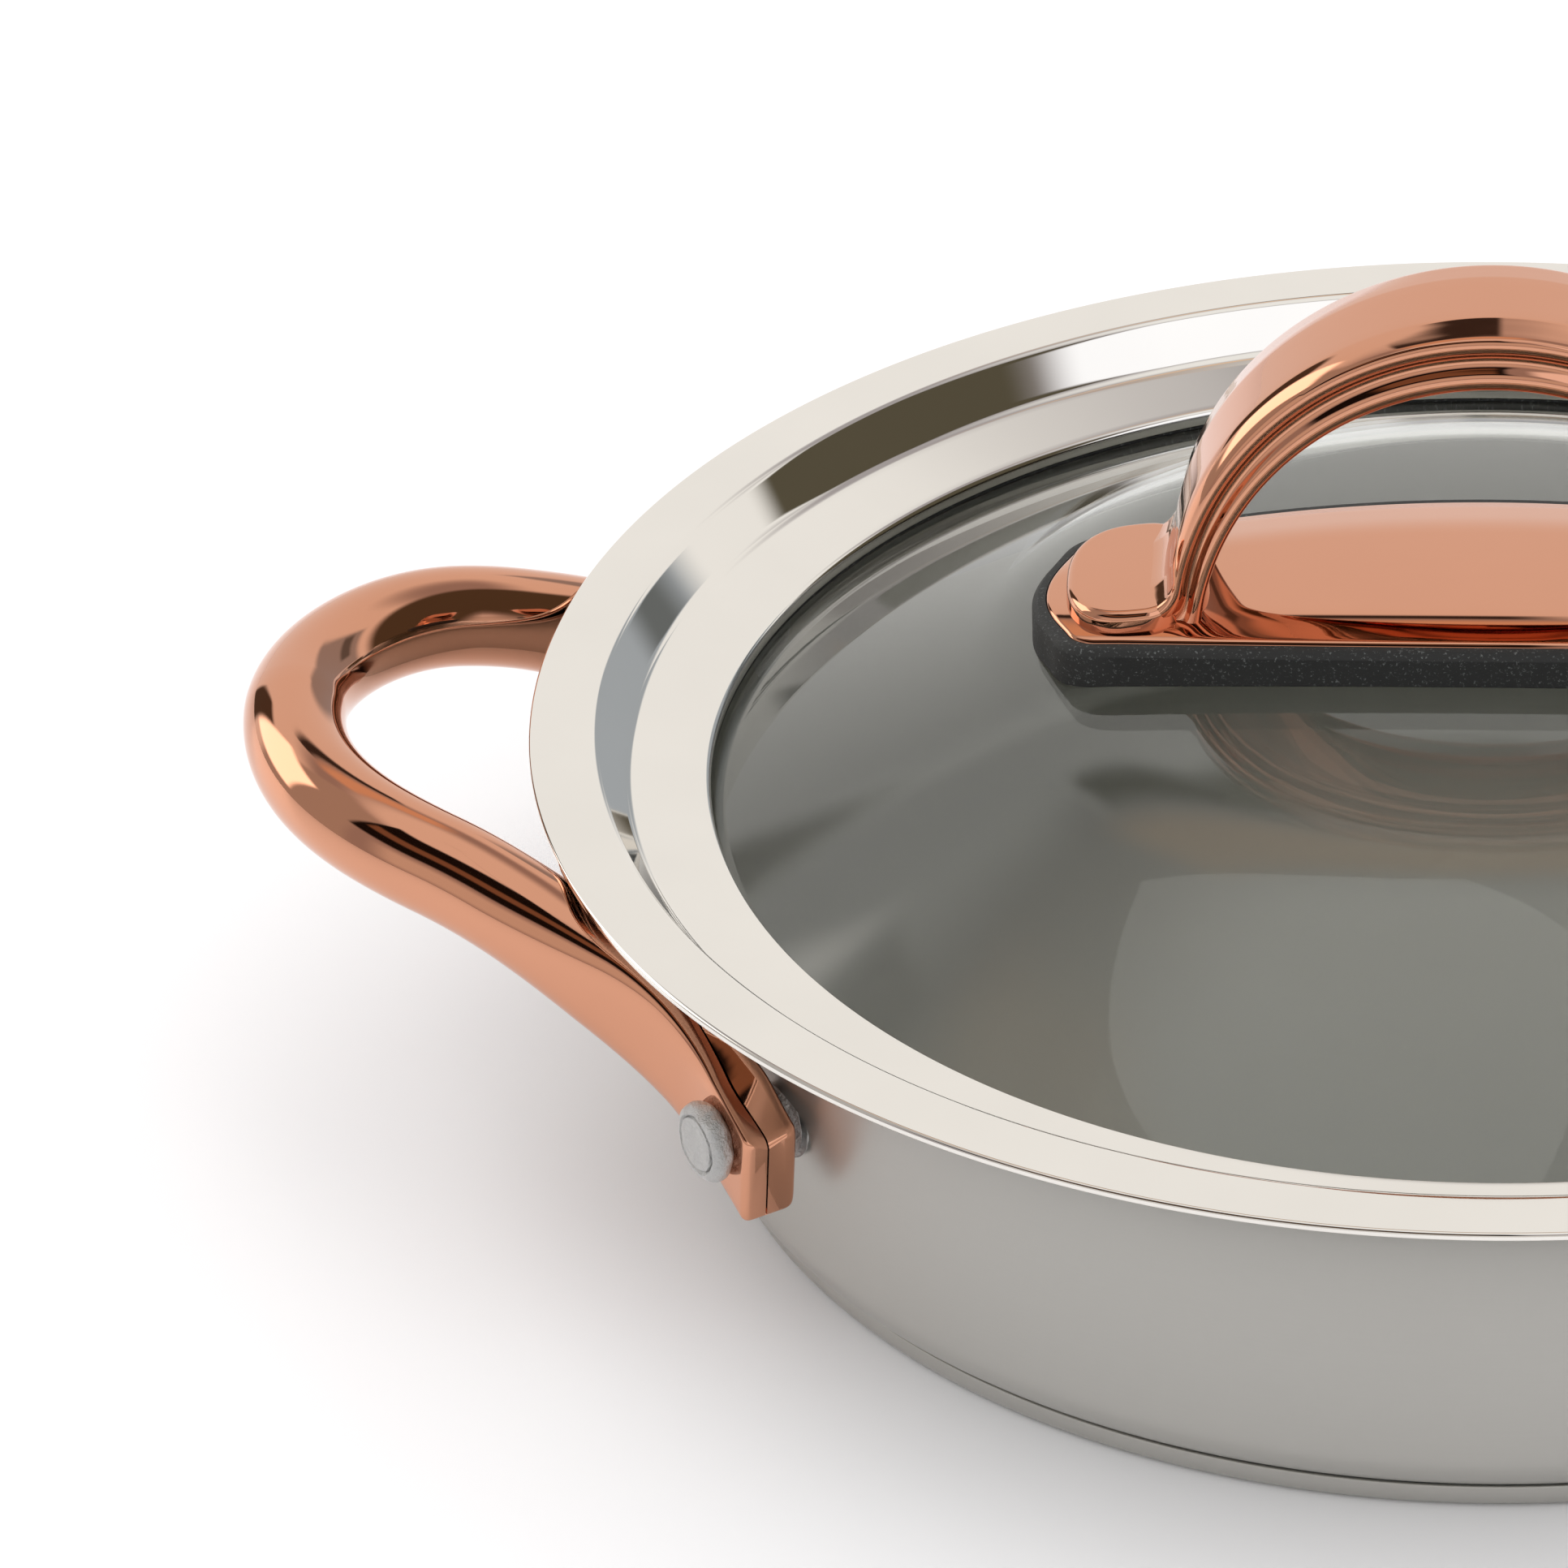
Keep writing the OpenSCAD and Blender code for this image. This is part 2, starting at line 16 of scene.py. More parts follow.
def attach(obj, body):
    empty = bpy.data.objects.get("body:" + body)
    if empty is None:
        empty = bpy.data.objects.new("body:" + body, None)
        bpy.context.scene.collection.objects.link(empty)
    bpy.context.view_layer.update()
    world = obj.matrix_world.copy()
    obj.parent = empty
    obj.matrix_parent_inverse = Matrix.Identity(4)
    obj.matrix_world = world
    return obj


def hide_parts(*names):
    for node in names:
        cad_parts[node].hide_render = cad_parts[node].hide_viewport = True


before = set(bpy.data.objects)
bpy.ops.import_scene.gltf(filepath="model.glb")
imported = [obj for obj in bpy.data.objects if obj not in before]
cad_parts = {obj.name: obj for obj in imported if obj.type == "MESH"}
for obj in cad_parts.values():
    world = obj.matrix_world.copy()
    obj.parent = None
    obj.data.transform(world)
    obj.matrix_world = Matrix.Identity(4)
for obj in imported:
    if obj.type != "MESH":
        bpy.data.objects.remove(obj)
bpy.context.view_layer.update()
MM = 0.001

# %% [markdown]
# ## The camera
# A long lens far away gives the calm, nearly parallel lines of a catalogue picture. The camera
# looks down by 30 degrees at the left half of the pan, and leans by 2 degrees.

# %% Camera
CAMERA_AT = Vector((-58.66, -1124.57, 711.3)) * MM
YAW, PITCH, ROLL = (math.radians(a) for a in (-1.8882, 30.5478, -1.941))
LENS_MM, SENSOR_MM = 220.85, 36


def camera_axes():
    """Right, up and forward directions of the camera."""
    level_way = Vector((math.sin(YAW), math.cos(YAW), 0))
    forward = level_way * math.cos(PITCH) - Vector((0, 0, math.sin(PITCH)))
    level = Vector((math.cos(YAW), -math.sin(YAW), 0))
    over = level.cross(forward)
    right = math.cos(ROLL) * level + math.sin(ROLL) * over
    up = -math.sin(ROLL) * level + math.cos(ROLL) * over
    return right, up, forward


right, up, forward = camera_axes()
camera_data = bpy.data.cameras.new("camera")
camera_data.lens, camera_data.sensor_width = LENS_MM, SENSOR_MM
camera_data.clip_end = 20
camera = bpy.data.objects.new("camera", camera_data)
camera_turn = Matrix((right, up, -forward)).transposed().to_4x4()
camera.matrix_world = Matrix.Translation(CAMERA_AT) @ camera_turn
bpy.context.scene.collection.objects.link(camera)
bpy.context.scene.camera = camera
bpy.context.scene.view_settings.view_transform = "Standard"
print("camera looks along", [round(v, 3) for v in forward])

# %% [markdown]
# ## Writing a finish as a sum
# Blender's shaders are graphs of nodes. Wiring them one by one hides what they compute, so a
# small class wraps each output: two outputs can then be added or multiplied as numbers are.

# %% Shader helper
class Value:
    """One output of a node. Sums and products of values add Math nodes to the same tree."""

    def __init__(self, finish, socket):
        self.finish, self.socket = finish, socket

    def _math(self, operation, a, b):
        return self.finish.add("ShaderNodeMath", {"operation": operation}, {0: a, 1: b})

    def __add__(self, other):
        return self._math("ADD", self, other)

    def __radd__(self, other):
        return self._math("ADD", other, self)

    def __sub__(self, other):
        return self._math("SUBTRACT", self, other)

    def __rsub__(self, other):
        return self._math("SUBTRACT", other, self)

    def __mul__(self, other):
        return self._math("MULTIPLY", self, other)

    def __rmul__(self, other):
        return self._math("MULTIPLY", other, self)


class Finish:
    """A tree of shader nodes, in a new material or in an owner such as the world."""

    def __init__(self, name, owner=None):
        self.material = owner or bpy.data.materials.new(name)
        self.material.use_nodes = True
        self.tree = self.material.node_tree
        self.tree.nodes.clear()

    def add(self, kind, settings=None, sockets=None, out=0):
        """Adds a node: its settings first, then the values or links of its sockets."""
        node = self.tree.nodes.new(kind)
        for key, value in (settings or {}).items():
            if key == "stops":
                set_stops(node.color_ramp, value)
            else:
                setattr(node, key, value)
        for key, value in (sockets or {}).items():
            if isinstance(value, Value):
                self.tree.links.new(value.socket, node.inputs[key])
            else:
                node.inputs[key].default_value = value
        return Value(self, node.outputs[out])

    def here(self):
        """Object coordinates, in metres from the pan's centre."""
        return self.add("ShaderNodeTexCoord", out="Object")

    def parts(self, vector):
        """The x, y and z of a vector, as three values."""
        node = self.add("ShaderNodeSeparateXYZ", {}, {0: vector}).socket.node
        return tuple(Value(self, node.outputs[k]) for k in range(3))

    def noise(self, at, scale, detail=2.0, rough=0.5):
        """Cloudy noise from 0 to 1; the scale is in clouds for each metre."""
        return self.add("ShaderNodeTexNoise", {},
                        {"Vector": at, "Scale": scale, "Detail": detail, "Roughness": rough}, "Fac")

    def bump(self, height, distance, strength=1.0):
        """A normal that leans as if the surface rose by the height; distance in metres."""
        return self.add("ShaderNodeBump", {}, {"Height": height, "Distance": distance, "Strength": strength})

    def blend(self, factor, a, b):
        """Colour a where the factor is 0, colour b where it is 1."""
        return self.add("ShaderNodeMix", {"data_type": "RGBA"}, {"Factor": factor, 6: a, 7: b}, 2)

    def show(self, shader, kind="ShaderNodeOutputMaterial"):
        """Links the shader to the tree's output and returns what owns the tree."""
        output = self.tree.nodes.new(kind)
        self.tree.links.new(shader.socket, output.inputs["Surface"])
        return self.material


def set_stops(ramp, stops):
    """Gives a colour ramp its stops, as pairs of a position and a grey or a colour."""
    while len(ramp.elements) > 1:
        ramp.elements.remove(ramp.elements[0])
    for i, (place, shade) in enumerate(stops):
        stop = ramp.elements[0] if i == 0 else ramp.elements.new(place)
        stop.position = place
        stop.color = (shade, shade, shade, 1) if isinstance(shade, (int, float)) else (*shade, 1)


def colour(r, g, b):
    """Screen values from 0 to 255 as the linear colour that Blender works in."""
    return tuple(((v / 255 + 0.055) / 1.055) ** 2.4 for v in (r, g, b)) + (1,)


def darker(tint, share):
    """A colour with its brightness brought down to a share."""
    return tuple(v * share for v in tint[:3]) + (1,)

# %% [markdown]
# ## The metals
# Polished metal has almost no colour of its own besides a tint: it shows the room. So the tint
# and the small faults matter: both the tint and the gloss vary a little, in clouds. Real polish
# has them too, where the wheel pressed harder. The screws are turned, so fine marks stay on them.

# %% Polished metal
def polished(name, tint, rough, marks=0.0):
    """Mirror-bright metal: cloudy tint and gloss, and tool marks in mm where it has them."""
    f = Finish(name)
    here = f.here()
    cloud = f.noise(here, 45, 3)
    fine = f.noise(here, 900, 4, 0.6)
    sockets = {
        "Base Color": f.blend(cloud, darker(tint, 0.93), tint),
        "Metallic": 1.0,
        "Roughness": rough + 0.03 * cloud * fine,
    }
    if marks:
        sockets["Normal"] = f.bump(marks * fine, MM)
    return f.show(f.add("ShaderNodeBsdfPrincipled", {}, sockets))


copper_finish = polished("copper_finish", colour(216, 155, 125), 0.035)
mirror_steel = polished("mirror_steel", colour(238, 234, 228), 0.03)
screw_steel = polished("screw_steel", colour(205, 205, 203), 0.18, marks=0.02)
print("polished:", copper_finish.name, mirror_steel.name, screw_steel.name)

# %% [markdown]
# The pan itself is satin: a belt has drawn fine lines round it. The lines run round the axis, so
# the pattern is read from the distance to the axis and the height, and hardly from the angle.
# Inside, where the surface looks up or towards the axis, the pan is duller. Its inside tint is a
# little lighter, as painted light for what the glass lid keeps from it, and a ring of painted shade
# darkens it where its floor begins to turn up.

# %% Satin metal
# Stops of a ring of painted shade where the floor turns up into the wall, by distance from the axis in
# metres.
CORNER_SHADE_STOPS = [(0, 0.0), (0.1034, 0.0), (0.1038, 1.0), (0.1044, 1.0), (0.105, 0.0)]  # metres


def satin(name, tint, inner_tint, rough, inner_rough, depth):
    """Metal with fine lines drawn round the pan's axis, depth mm deep, and a duller inside."""
    f = Finish(name)
    here = f.here()
    x, y, z = f.parts(here)
    flat = f.add("ShaderNodeCombineXYZ", {}, {0: x, 1: y})
    away = f.add("ShaderNodeVectorMath", {"operation": "LENGTH"}, {0: flat}, "Value")
    outward = f.add("ShaderNodeVectorMath", {"operation": "NORMALIZE"}, {0: flat})
    facing = f.add("ShaderNodeTexCoord", out="Normal")
    outwards = f.add("ShaderNodeVectorMath", {"operation": "DOT_PRODUCT"}, {0: facing, 1: outward}, "Value")
    inner = f.add("ShaderNodeMapRange", {"interpolation_type": "SMOOTHSTEP"},
                  {"Value": f.parts(facing)[2] - 0.5 * outwards, "From Min": -0.1, "From Max": 0.1})
    lines_at = f.add("ShaderNodeCombineXYZ", {}, {0: away * 60.0, 1: z * 60.0, 2: x * 0.8})
    lines = f.noise(lines_at, 100, 4, 0.7)
    cloud = f.noise(here, 14, 2)
    # Painted shade: a dark ring in the crease where the floor turns up into the wall.
    painted_corner_shade = f.add("ShaderNodeValToRGB", {"stops": CORNER_SHADE_STOPS}, {"Fac": away}, "Color")
    inside = f.blend(painted_corner_shade * 0.75, inner_tint, darker(inner_tint, 0.25))
    outside = f.blend(lines * 0.5 + cloud * 0.5, darker(tint, 0.9), tint)
    return f.show(f.add("ShaderNodeBsdfPrincipled", {}, {
        "Base Color": f.blend(inner, outside, inside),
        "Metallic": 1.0,
        "Roughness": rough + (inner_rough - rough) * inner + 0.06 * lines,
        "Normal": f.bump(lines, depth * MM),
    }))


# The inside tint is a little lighter than the outside one: painted light that makes up for the light the
# glass keeps from the inside.
satin_steel = satin("satin_steel", colour(194, 192, 187), colour(202, 201, 195), 0.34, 0.6, 0.004)
DISC_GREY = colour(190, 192, 194)
core_aluminium = satin("core_aluminium", DISC_GREY, DISC_GREY, 0.45, 0.45, 0.01)
print("satin:", satin_steel.name, core_aluminium.name)

# %% [markdown]
# Rivets are closed with a hammer, which leaves soft facets and small pits in the aluminium.

# %% Hammered aluminium
def hammered(name, tint):
    """Soft metal with a hammer's shallow facets and a pitted grain."""
    f = Finish(name)
    here = f.here()
    facets = f.add("ShaderNodeTexVoronoi", {"feature": "SMOOTH_F1"},
                   {"Vector": here, "Scale": 700, "Smoothness": 1.0}, "Distance")
    grain = f.noise(here, 2600, 4, 0.65)
    return f.show(f.add("ShaderNodeBsdfPrincipled", {}, {
        "Base Color": f.blend(grain, darker(tint, 0.72), tint),
        "Metallic": 1.0,
        "Roughness": 0.3 + 0.2 * grain,
        "Normal": f.bump(facets * 0.8 + grain * 0.5, 0.9 * MM),
    }))


rivet_aluminium = hammered("rivet_aluminium", colour(216, 216, 215))
print("hammered:", rivet_aluminium.name)

# %% [markdown]
# The silicone pad is matt and nearly black, with pale specks of dust and filler in it. The glass
# is clear with a slight grey-green cast, as all common glass has.

# %% Silicone and glass
def silicone(name):
    """Matt black rubber: a fine grain, and pale specks where the grain is highest."""
    f = Finish(name)
    here = f.here()
    grain = f.noise(here, 2400, 5, 0.7)
    specks = f.add("ShaderNodeValToRGB", {"stops": [(0.58, 0.0), (0.66, 1.0)]}, {"Fac": grain}, "Color")
    return f.show(f.add("ShaderNodeBsdfPrincipled", {}, {
        "Base Color": f.blend(specks, colour(33, 34, 33), colour(96, 99, 97)),
        "Roughness": 0.55 + 0.2 * grain,
        "Normal": f.bump(grain, 0.08 * MM, 0.6),
    }))


def clear_glass(name):
    """Smooth glass whose cast varies a little, in clouds."""
    f = Finish(name)
    here = f.here()
    cloud = f.noise(here, 8, 2)
    return f.show(f.add("ShaderNodeBsdfPrincipled", {}, {
        "Base Color": f.blend(cloud, colour(226, 229, 226), colour(230, 232, 229)),
        "Roughness": 0.0,
        "IOR": 1.5,
        "Transmission Weight": 1.0,
    }))


black_silicone = silicone("black_silicone")
dome_glass = clear_glass("dome_glass")
print("soft and clear:", black_silicone.name, dome_glass.name)

# %% [markdown]
# ## The studio
# A pale floor that the object stands on, and a white room round it. Polished metal shows the room
# and not the lamp, so the room is given its brightness direction by direction: pale cards, dark
# gaps between them, and a blue window, as a photographer sets them up round a shiny object. Only
# rays that leave a glossy surface see the cards, so the background itself stays white.

# %% Floor
def floor_finish():
    """Matt white card with a hardly visible cloudiness."""
    f = Finish("floor_white")
    here = f.here()
    cloud = f.noise(here, 3, 2)
    return f.show(f.add("ShaderNodeBsdfPrincipled", {}, {
        "Base Color": f.blend(cloud, colour(250, 250, 250), colour(252, 252, 252)),
        "Roughness": 0.4,
    }))


FLOOR_HALF = 3.0
floor_corners = [(x * FLOOR_HALF, y * FLOOR_HALF, 0) for x, y in ((-1, -1), (1, -1), (1, 1), (-1, 1))]
floor_mesh = bpy.data.meshes.new("floor")
floor_mesh.from_pydata(floor_corners, [], [(0, 1, 2, 3)])
floor = bpy.data.objects.new("floor", floor_mesh)
floor.data.materials.append(floor_finish())
bpy.context.scene.collection.objects.link(floor)
print("floor:", 2 * FLOOR_HALF, "m wide")

# %% [markdown]
# Each panel of the room has its brightness and tint, its compass direction and half width, its
# lowest and highest angle above the horizon, and how soft its sides and its lower and upper edge
# are. Direction 0 is behind the pan, 90 is to its right. Angles are in degrees. Later panels
# cover earlier ones.

# %% Room
DAYLIGHT = (0.985, 0.982, 1.0)
BARE_WALL = (0.42, 0.39, 0.395)
PANELS = [
    ("backdrop", (0.97, 0.95, 0.92), 0, 85, -95, 44, 3, 5),
    ("overhead_box", (0.98, 0.97, 0.95), 0, 181, 62, 95, 4, 9),
    ("front_low", (0.76, 0.73, 0.69), 180, 60, 2, 26, 8, 5),
    ("warm_gap", (0.85, 0.60, 0.42), -10, 26, 49, 60, 6, 3),
    ("gap_over_backdrop", (0.05, 0.04, 0.035), -12, 17, 41.5, 46.5, 1.5, 1.5),
    ("left_wall", (0.50, 0.48, 0.46), -80, 25, -10, 60, 4, 4),
    ("dark_front_left", (0.012, 0.009, 0.008), -142, 40, 32, 70, 2, 2),
    ("bronze_front_left", (0.24, 0.14, 0.085), -142, 36, 45, 54, 2, 2),
    ("dark_right", (0.10, 0.085, 0.055), 91, 27, -5, 54, 5, 2),
    ("window_right_front", (1.2, 1.22, 1.27), 144, 23, 14, 58, 4, 2),
    ("blue_far_right", (0.40, 0.43, 0.46), 37, 18, -8, 28, 3, 2),
    ("dusk_far_right", (0.15, 0.16, 0.16), 45, 4, 8, 26, 2, 2),
    ("left_card", (2.6, 2.5, 2.35), -60, 15, 7, 38, 2, 2),
    ("card_edge", (0.09, 0.07, 0.05), -39, 5, -5, 27, 1.5, 2),
]


def white_room():
    """World light: daylight to the camera and through glass, the studio's panels to metal."""
    room = Finish("studio_room", bpy.data.worlds.new("studio_room"))
    direction = room.add("ShaderNodeTexCoord", out="Generated")
    x, y, z = room.parts(direction)
    azimuth = room.add("ShaderNodeMath", {"operation": "ARCTAN2"}, {0: x, 1: y})
    height = room.add("ShaderNodeMath", {"operation": "ARCSINE"}, {0: z})

    def rise(value, start, end):
        """0 below start, 1 above end, smooth between; angles in degrees."""
        return room.add("ShaderNodeMapRange", {"interpolation_type": "SMOOTHSTEP"},
                        {"Value": value, "From Min": math.radians(start), "From Max": math.radians(end)})

    light = BARE_WALL + (1,)
    for name, shade, towards, half, low, high, side_soft, soft in PANELS:
        turned = room.add("ShaderNodeMath", {"operation": "WRAP"},
                          {0: azimuth - math.radians(towards), 1: math.pi, 2: -math.pi})
        aside = room.add("ShaderNodeMath", {"operation": "ABSOLUTE"}, {0: turned})
        between = 1.0 - rise(aside, half - side_soft, half + side_soft)
        above, below = rise(height, low - soft, low + soft), 1.0 - rise(height, high - soft, high + soft)
        light = room.blend(between * above * below, light, shade + (1,))
    rays = room.add("ShaderNodeLightPath", out="Is Glossy Ray")
    seen = room.blend(rays, DAYLIGHT + (1,), light)
    background = room.add("ShaderNodeBackground", {}, {"Color": seen, "Strength": 1.0})
    return room.show(background, "ShaderNodeOutputWorld")


bpy.context.scene.world = white_room()
print("the room has", len(PANELS), "panels")

# %% [markdown]
# ## Making meshes
# Most pieces of a pan are turned on a lathe or pressed round. A profile is a list of points
# (distance from the axis, height); sweeping it round the axis gives the piece.

# %% Mesh helpers
def raw_object(name, points, edges, faces):
    """A new object with a mesh of points in millimetres, linked into the scene."""
    mesh = bpy.data.meshes.new(name)
    mesh.from_pydata([tuple(p) for p in np.asarray(points, float) * MM], edges, faces)
    obj = bpy.data.objects.new(name, mesh)
    bpy.context.scene.collection.objects.link(obj)
    return obj


def weld(mesh, distance, sharp, slivers=False):
    """Merges doubles and turns faces outwards. Edges sharper than the angle stay crisp."""
    shape = bmesh.new()
    shape.from_mesh(mesh)
    bmesh.ops.remove_doubles(shape, verts=shape.verts, dist=distance)
    if slivers:
        bmesh.ops.dissolve_degenerate(shape, edges=shape.edges, dist=1e-7)
    bmesh.ops.recalc_face_normals(shape, faces=shape.faces)
    shape.to_mesh(mesh)
    shape.free()
    mesh.shade_smooth()
    mesh.set_sharp_from_angle(angle=math.radians(sharp))


def skin_faces(rings, count):
    """Faces that join each ring of points to the next."""
    faces = []
    for low in range(0, (rings - 1) * count, count):
        high = low + count
        faces += [(low + j, low + (j + 1) % count, high + (j + 1) % count, high + j) for j in range(count)]
    return faces


def hand_over(obj, body, slot, *nodes):
    """Says which body the piece rides on and which solids it stands for; the slot is not used."""
    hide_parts(*nodes)
    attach(obj, body)
    print(obj.name, "has", len(obj.data.polygons), "faces and stands for", ", ".join(nodes))


# %% [markdown]
# A profile is put together from arcs and curves. A pressed sheet is one line with a thickness, so
# only one of its faces has to be drawn, and small radii at its edges catch the light.

# %% Profile helpers
def arc(centre, radius, a, b, steps):
    """Points of an arc about a centre, from angle a to angle b in degrees."""
    w = np.radians(np.linspace(a, b, steps + 1))
    return [np.array(centre) + radius * np.array([math.cos(t), math.sin(t)]) for t in w]


def cubic(a, b, c, d, steps, start=0):
    """Points of the curve that leaves a towards b and comes into d from c."""
    a, b, c, d = (np.array(p, float) for p in (a, b, c, d))
    u = np.linspace(0, 1, steps + 1)[start:]
    return [(1 - t) ** 3 * a + 3 * (1 - t) ** 2 * t * b + 3 * (1 - t) * t * t * c + t ** 3 * d for t in u]


def beside(path, distance):
    """The path moved to its left by a distance, and kept off the far side of the axis."""
    path = [np.array(p, float) for p in path]
    ways = [(b - a) / np.linalg.norm(b - a) for a, b in zip(path, path[1:])]
    normals = [np.array([-d[1], d[0]]) for d in ways]
    moved = []
    for i, p in enumerate(path):
        m = normals[max(i - 1, 0)] + normals[min(i, len(normals) - 1)]
        q = p + distance * 2 * m / (m @ m)
        moved.append(np.array([max(q[0], 0), q[1]]))
    return moved


def sheet(path, thickness):
    """Closed outline of a sheet of metal whose one face is the path."""
    return list(path) + beside(path, thickness)[::-1]


LESS_THAN_HALF = 0.45  # two neighbouring corners never take up the whole side between them


def rounded(outline, radius, steps=4, least=25):
    """A closed outline with each corner sharper than an angle rounded off."""
    points = [np.array(p, float) for p in outline]
    made = []
    for i, p in enumerate(points):
        a, b = points[i - 1] - p, points[(i + 1) % len(points)] - p
        la, lb = np.linalg.norm(a), np.linalg.norm(b)
        turn = math.degrees(math.acos(max(-1, min(1, -(a @ b) / (la * lb)))))
        if turn < least or p[0] < 1e-9:
            made.append(p)
            continue
        reach = min(radius, la * LESS_THAN_HALF, lb * LESS_THAN_HALF)
        u, v = p + a / la * reach, p + b / lb * reach
        made += [(1 - t) ** 2 * u + 2 * (1 - t) * t * p + t * t * v for t in np.linspace(0, 1, steps + 1)]
    return made


# %% [markdown]
# ## A lathe made of nodes
# Geometry Nodes can turn a profile the way a spinning lathe does: the profile is a flat curve, a
# circle is the path, and Curve to Mesh carries one along the other. The tree's inputs are named,
# so the same tree makes the pan, its base, the lid's rim and the glass. First come the helpers
# that start a tree, put nodes in it, end it and run it.

# %% Node tree helpers
NUMBER, WHOLE_NUMBER, MATERIAL = "NodeSocketFloat", "NodeSocketInt", "NodeSocketMaterial"


def new_tree(name, inputs):
    """An empty Geometry Nodes tree with a Geometry input and the given named inputs."""
    tree = bpy.data.node_groups.new(name, "GeometryNodeTree")
    tree.interface.new_socket(name="Geometry", in_out="INPUT", socket_type="NodeSocketGeometry")
    for title, kind in inputs:
        tree.interface.new_socket(name=title, in_out="INPUT", socket_type=kind)
    tree.interface.new_socket(name="Geometry", in_out="OUTPUT", socket_type="NodeSocketGeometry")
    return tree


def put(tree, kind, settings=None, sockets=None):
    """Adds a node to a tree: settings first, then socket values or links. Returns the node."""
    node = tree.nodes.new(kind)
    for key, value in (settings or {}).items():
        setattr(node, key, value)
    for key, value in (sockets or {}).items():
        if isinstance(value, bpy.types.NodeSocket):
            tree.links.new(value, node.inputs[key])
        else:
            node.inputs[key].default_value = value
    return node


def tree_math(tree, operation, a, b):
    """A Math node's output. A cosine or a sine takes no second number, so b may be anything."""
    return put(tree, "ShaderNodeMath", {"operation": operation}, {0: a, 1: b}).outputs[0]


def copies_at(tree, given, count, place, facing):
    """Copies of the tree's input at numbered points; place and facing may follow the number."""
    spots = put(tree, "GeometryNodePoints", {}, {"Count": count, "Position": place})
    copies = put(tree, "GeometryNodeInstanceOnPoints", {},
                 {"Points": spots.outputs[0], "Instance": given.outputs["Geometry"]})
    faced = put(tree, "GeometryNodeRotateInstances", {},
                {"Instances": copies.outputs[0], "Rotation": facing})
    return faced.outputs[0]


def close_tree(tree, geometry, material):
    """Ends a tree: instances become real, faces get their material, and the result goes out."""
    real = put(tree, "GeometryNodeRealizeInstances", {}, {0: geometry})
    painted = put(tree, "GeometryNodeSetMaterial", {}, {0: real.outputs[0], "Material": material})
    put(tree, "NodeGroupOutput", {}, {0: painted.outputs[0]})


def run_tree(obj, tree, finish, sharp=40, **values):
    """Runs a tree on an object and keeps the result as its plain mesh."""
    modifier = obj.modifiers.new(tree.name, "NODES")
    modifier.node_group = tree
    for item in tree.interface.items_tree:
        title = item.name.lower().replace(" ", "_")
        if item.in_out == "INPUT" and title in values:
            modifier[item.identifier] = values[title]
    seen = obj.evaluated_get(bpy.context.evaluated_depsgraph_get())
    mesh = bpy.data.meshes.new_from_object(seen)
    obj.modifiers.remove(modifier)
    old = obj.data
    obj.data = mesh
    mesh.name = obj.name
    bpy.data.meshes.remove(old)
    mesh.materials.clear()
    mesh.materials.append(finish)
    weld(mesh, 2e-6, sharp, slivers=True)
    return obj


# %% [markdown]
# The circle has a radius of its own, and the profile is shifted by as much, so that its axis lies
# in the circle's middle. A profile that starts and ends on the axis stays open there: the turned
# faces close it.

# %% The lathe
LATHE_R = 100.0
ON_AXIS = 0.0001  # radius for small pieces: almost none, because a circle of none has no direction
lathe = new_tree("lathe", [("Radius", NUMBER), ("Steps", WHOLE_NUMBER), ("Material", MATERIAL)])
given = put(lathe, "NodeGroupInput")
ring = put(lathe, "GeometryNodeCurvePrimitiveCircle", {},
           {"Resolution": given.outputs["Steps"], "Radius": given.outputs["Radius"]})
cutter = put(lathe, "GeometryNodeMeshToCurve", {}, {0: given.outputs["Geometry"]})
turned = put(lathe, "GeometryNodeCurveToMesh", {},
             {"Curve": ring.outputs[0], "Profile Curve": cutter.outputs[0]})
close_tree(lathe, turned.outputs[0], given.outputs["Material"])
print("the lathe tree has", len(lathe.nodes), "nodes")


def turn(name, outline, finish, steps=480, sharp=40, radius=LATHE_R):
    """A piece turned from a closed outline of points (distance from the axis, height) in mm."""
    ends_on_axis = outline[0][0] < 1e-6 and outline[-1][0] < 1e-6
    count = len(outline)
    edges = [(i, i + 1) for i in range(count - 1)] + ([] if ends_on_axis else [(count - 1, 0)])
    obj = raw_object(name, [(r - radius, -z, 0) for r, z in outline], edges, [])
    return run_tree(obj, lathe, finish, sharp, radius=radius * MM, steps=steps, material=finish)


# %% [markdown]
# ## The pan
# One sheet of steel is drawn to a low bowl with a gently widening wall and a flared pouring lip.
# A steel cap under the floor holds an aluminium disc that spreads the heat.

# %% Pan and base
BASE_R, BASE_H, BASE_EDGE = 106.8, 3.7, 2.4
WALL_LOW_R, CORNER_R = 109.9, 5.5
LIP_R, LIP_Z, PAN_T = 128.0, 55.6, 0.9
CAP_T = 0.6

wall_foot, wall_aim = (WALL_LOW_R, BASE_H + CORNER_R), (WALL_LOW_R - 0.4, 31)
lip_aim, lip_end = (LIP_R - 12.4, LIP_Z), (LIP_R, LIP_Z)
pan_path = [np.array([0.0, BASE_H])]
pan_path += arc((WALL_LOW_R - CORNER_R, BASE_H + CORNER_R), CORNER_R, -90, 0, 16)
pan_path += cubic(wall_foot, wall_aim, lip_aim, lip_end, 60, 1)
pan = turn("pan", rounded(sheet(pan_path, PAN_T), 0.35, 3, 60), satin_steel)
hand_over(pan, "pan", "satin_steel", "pan_body")

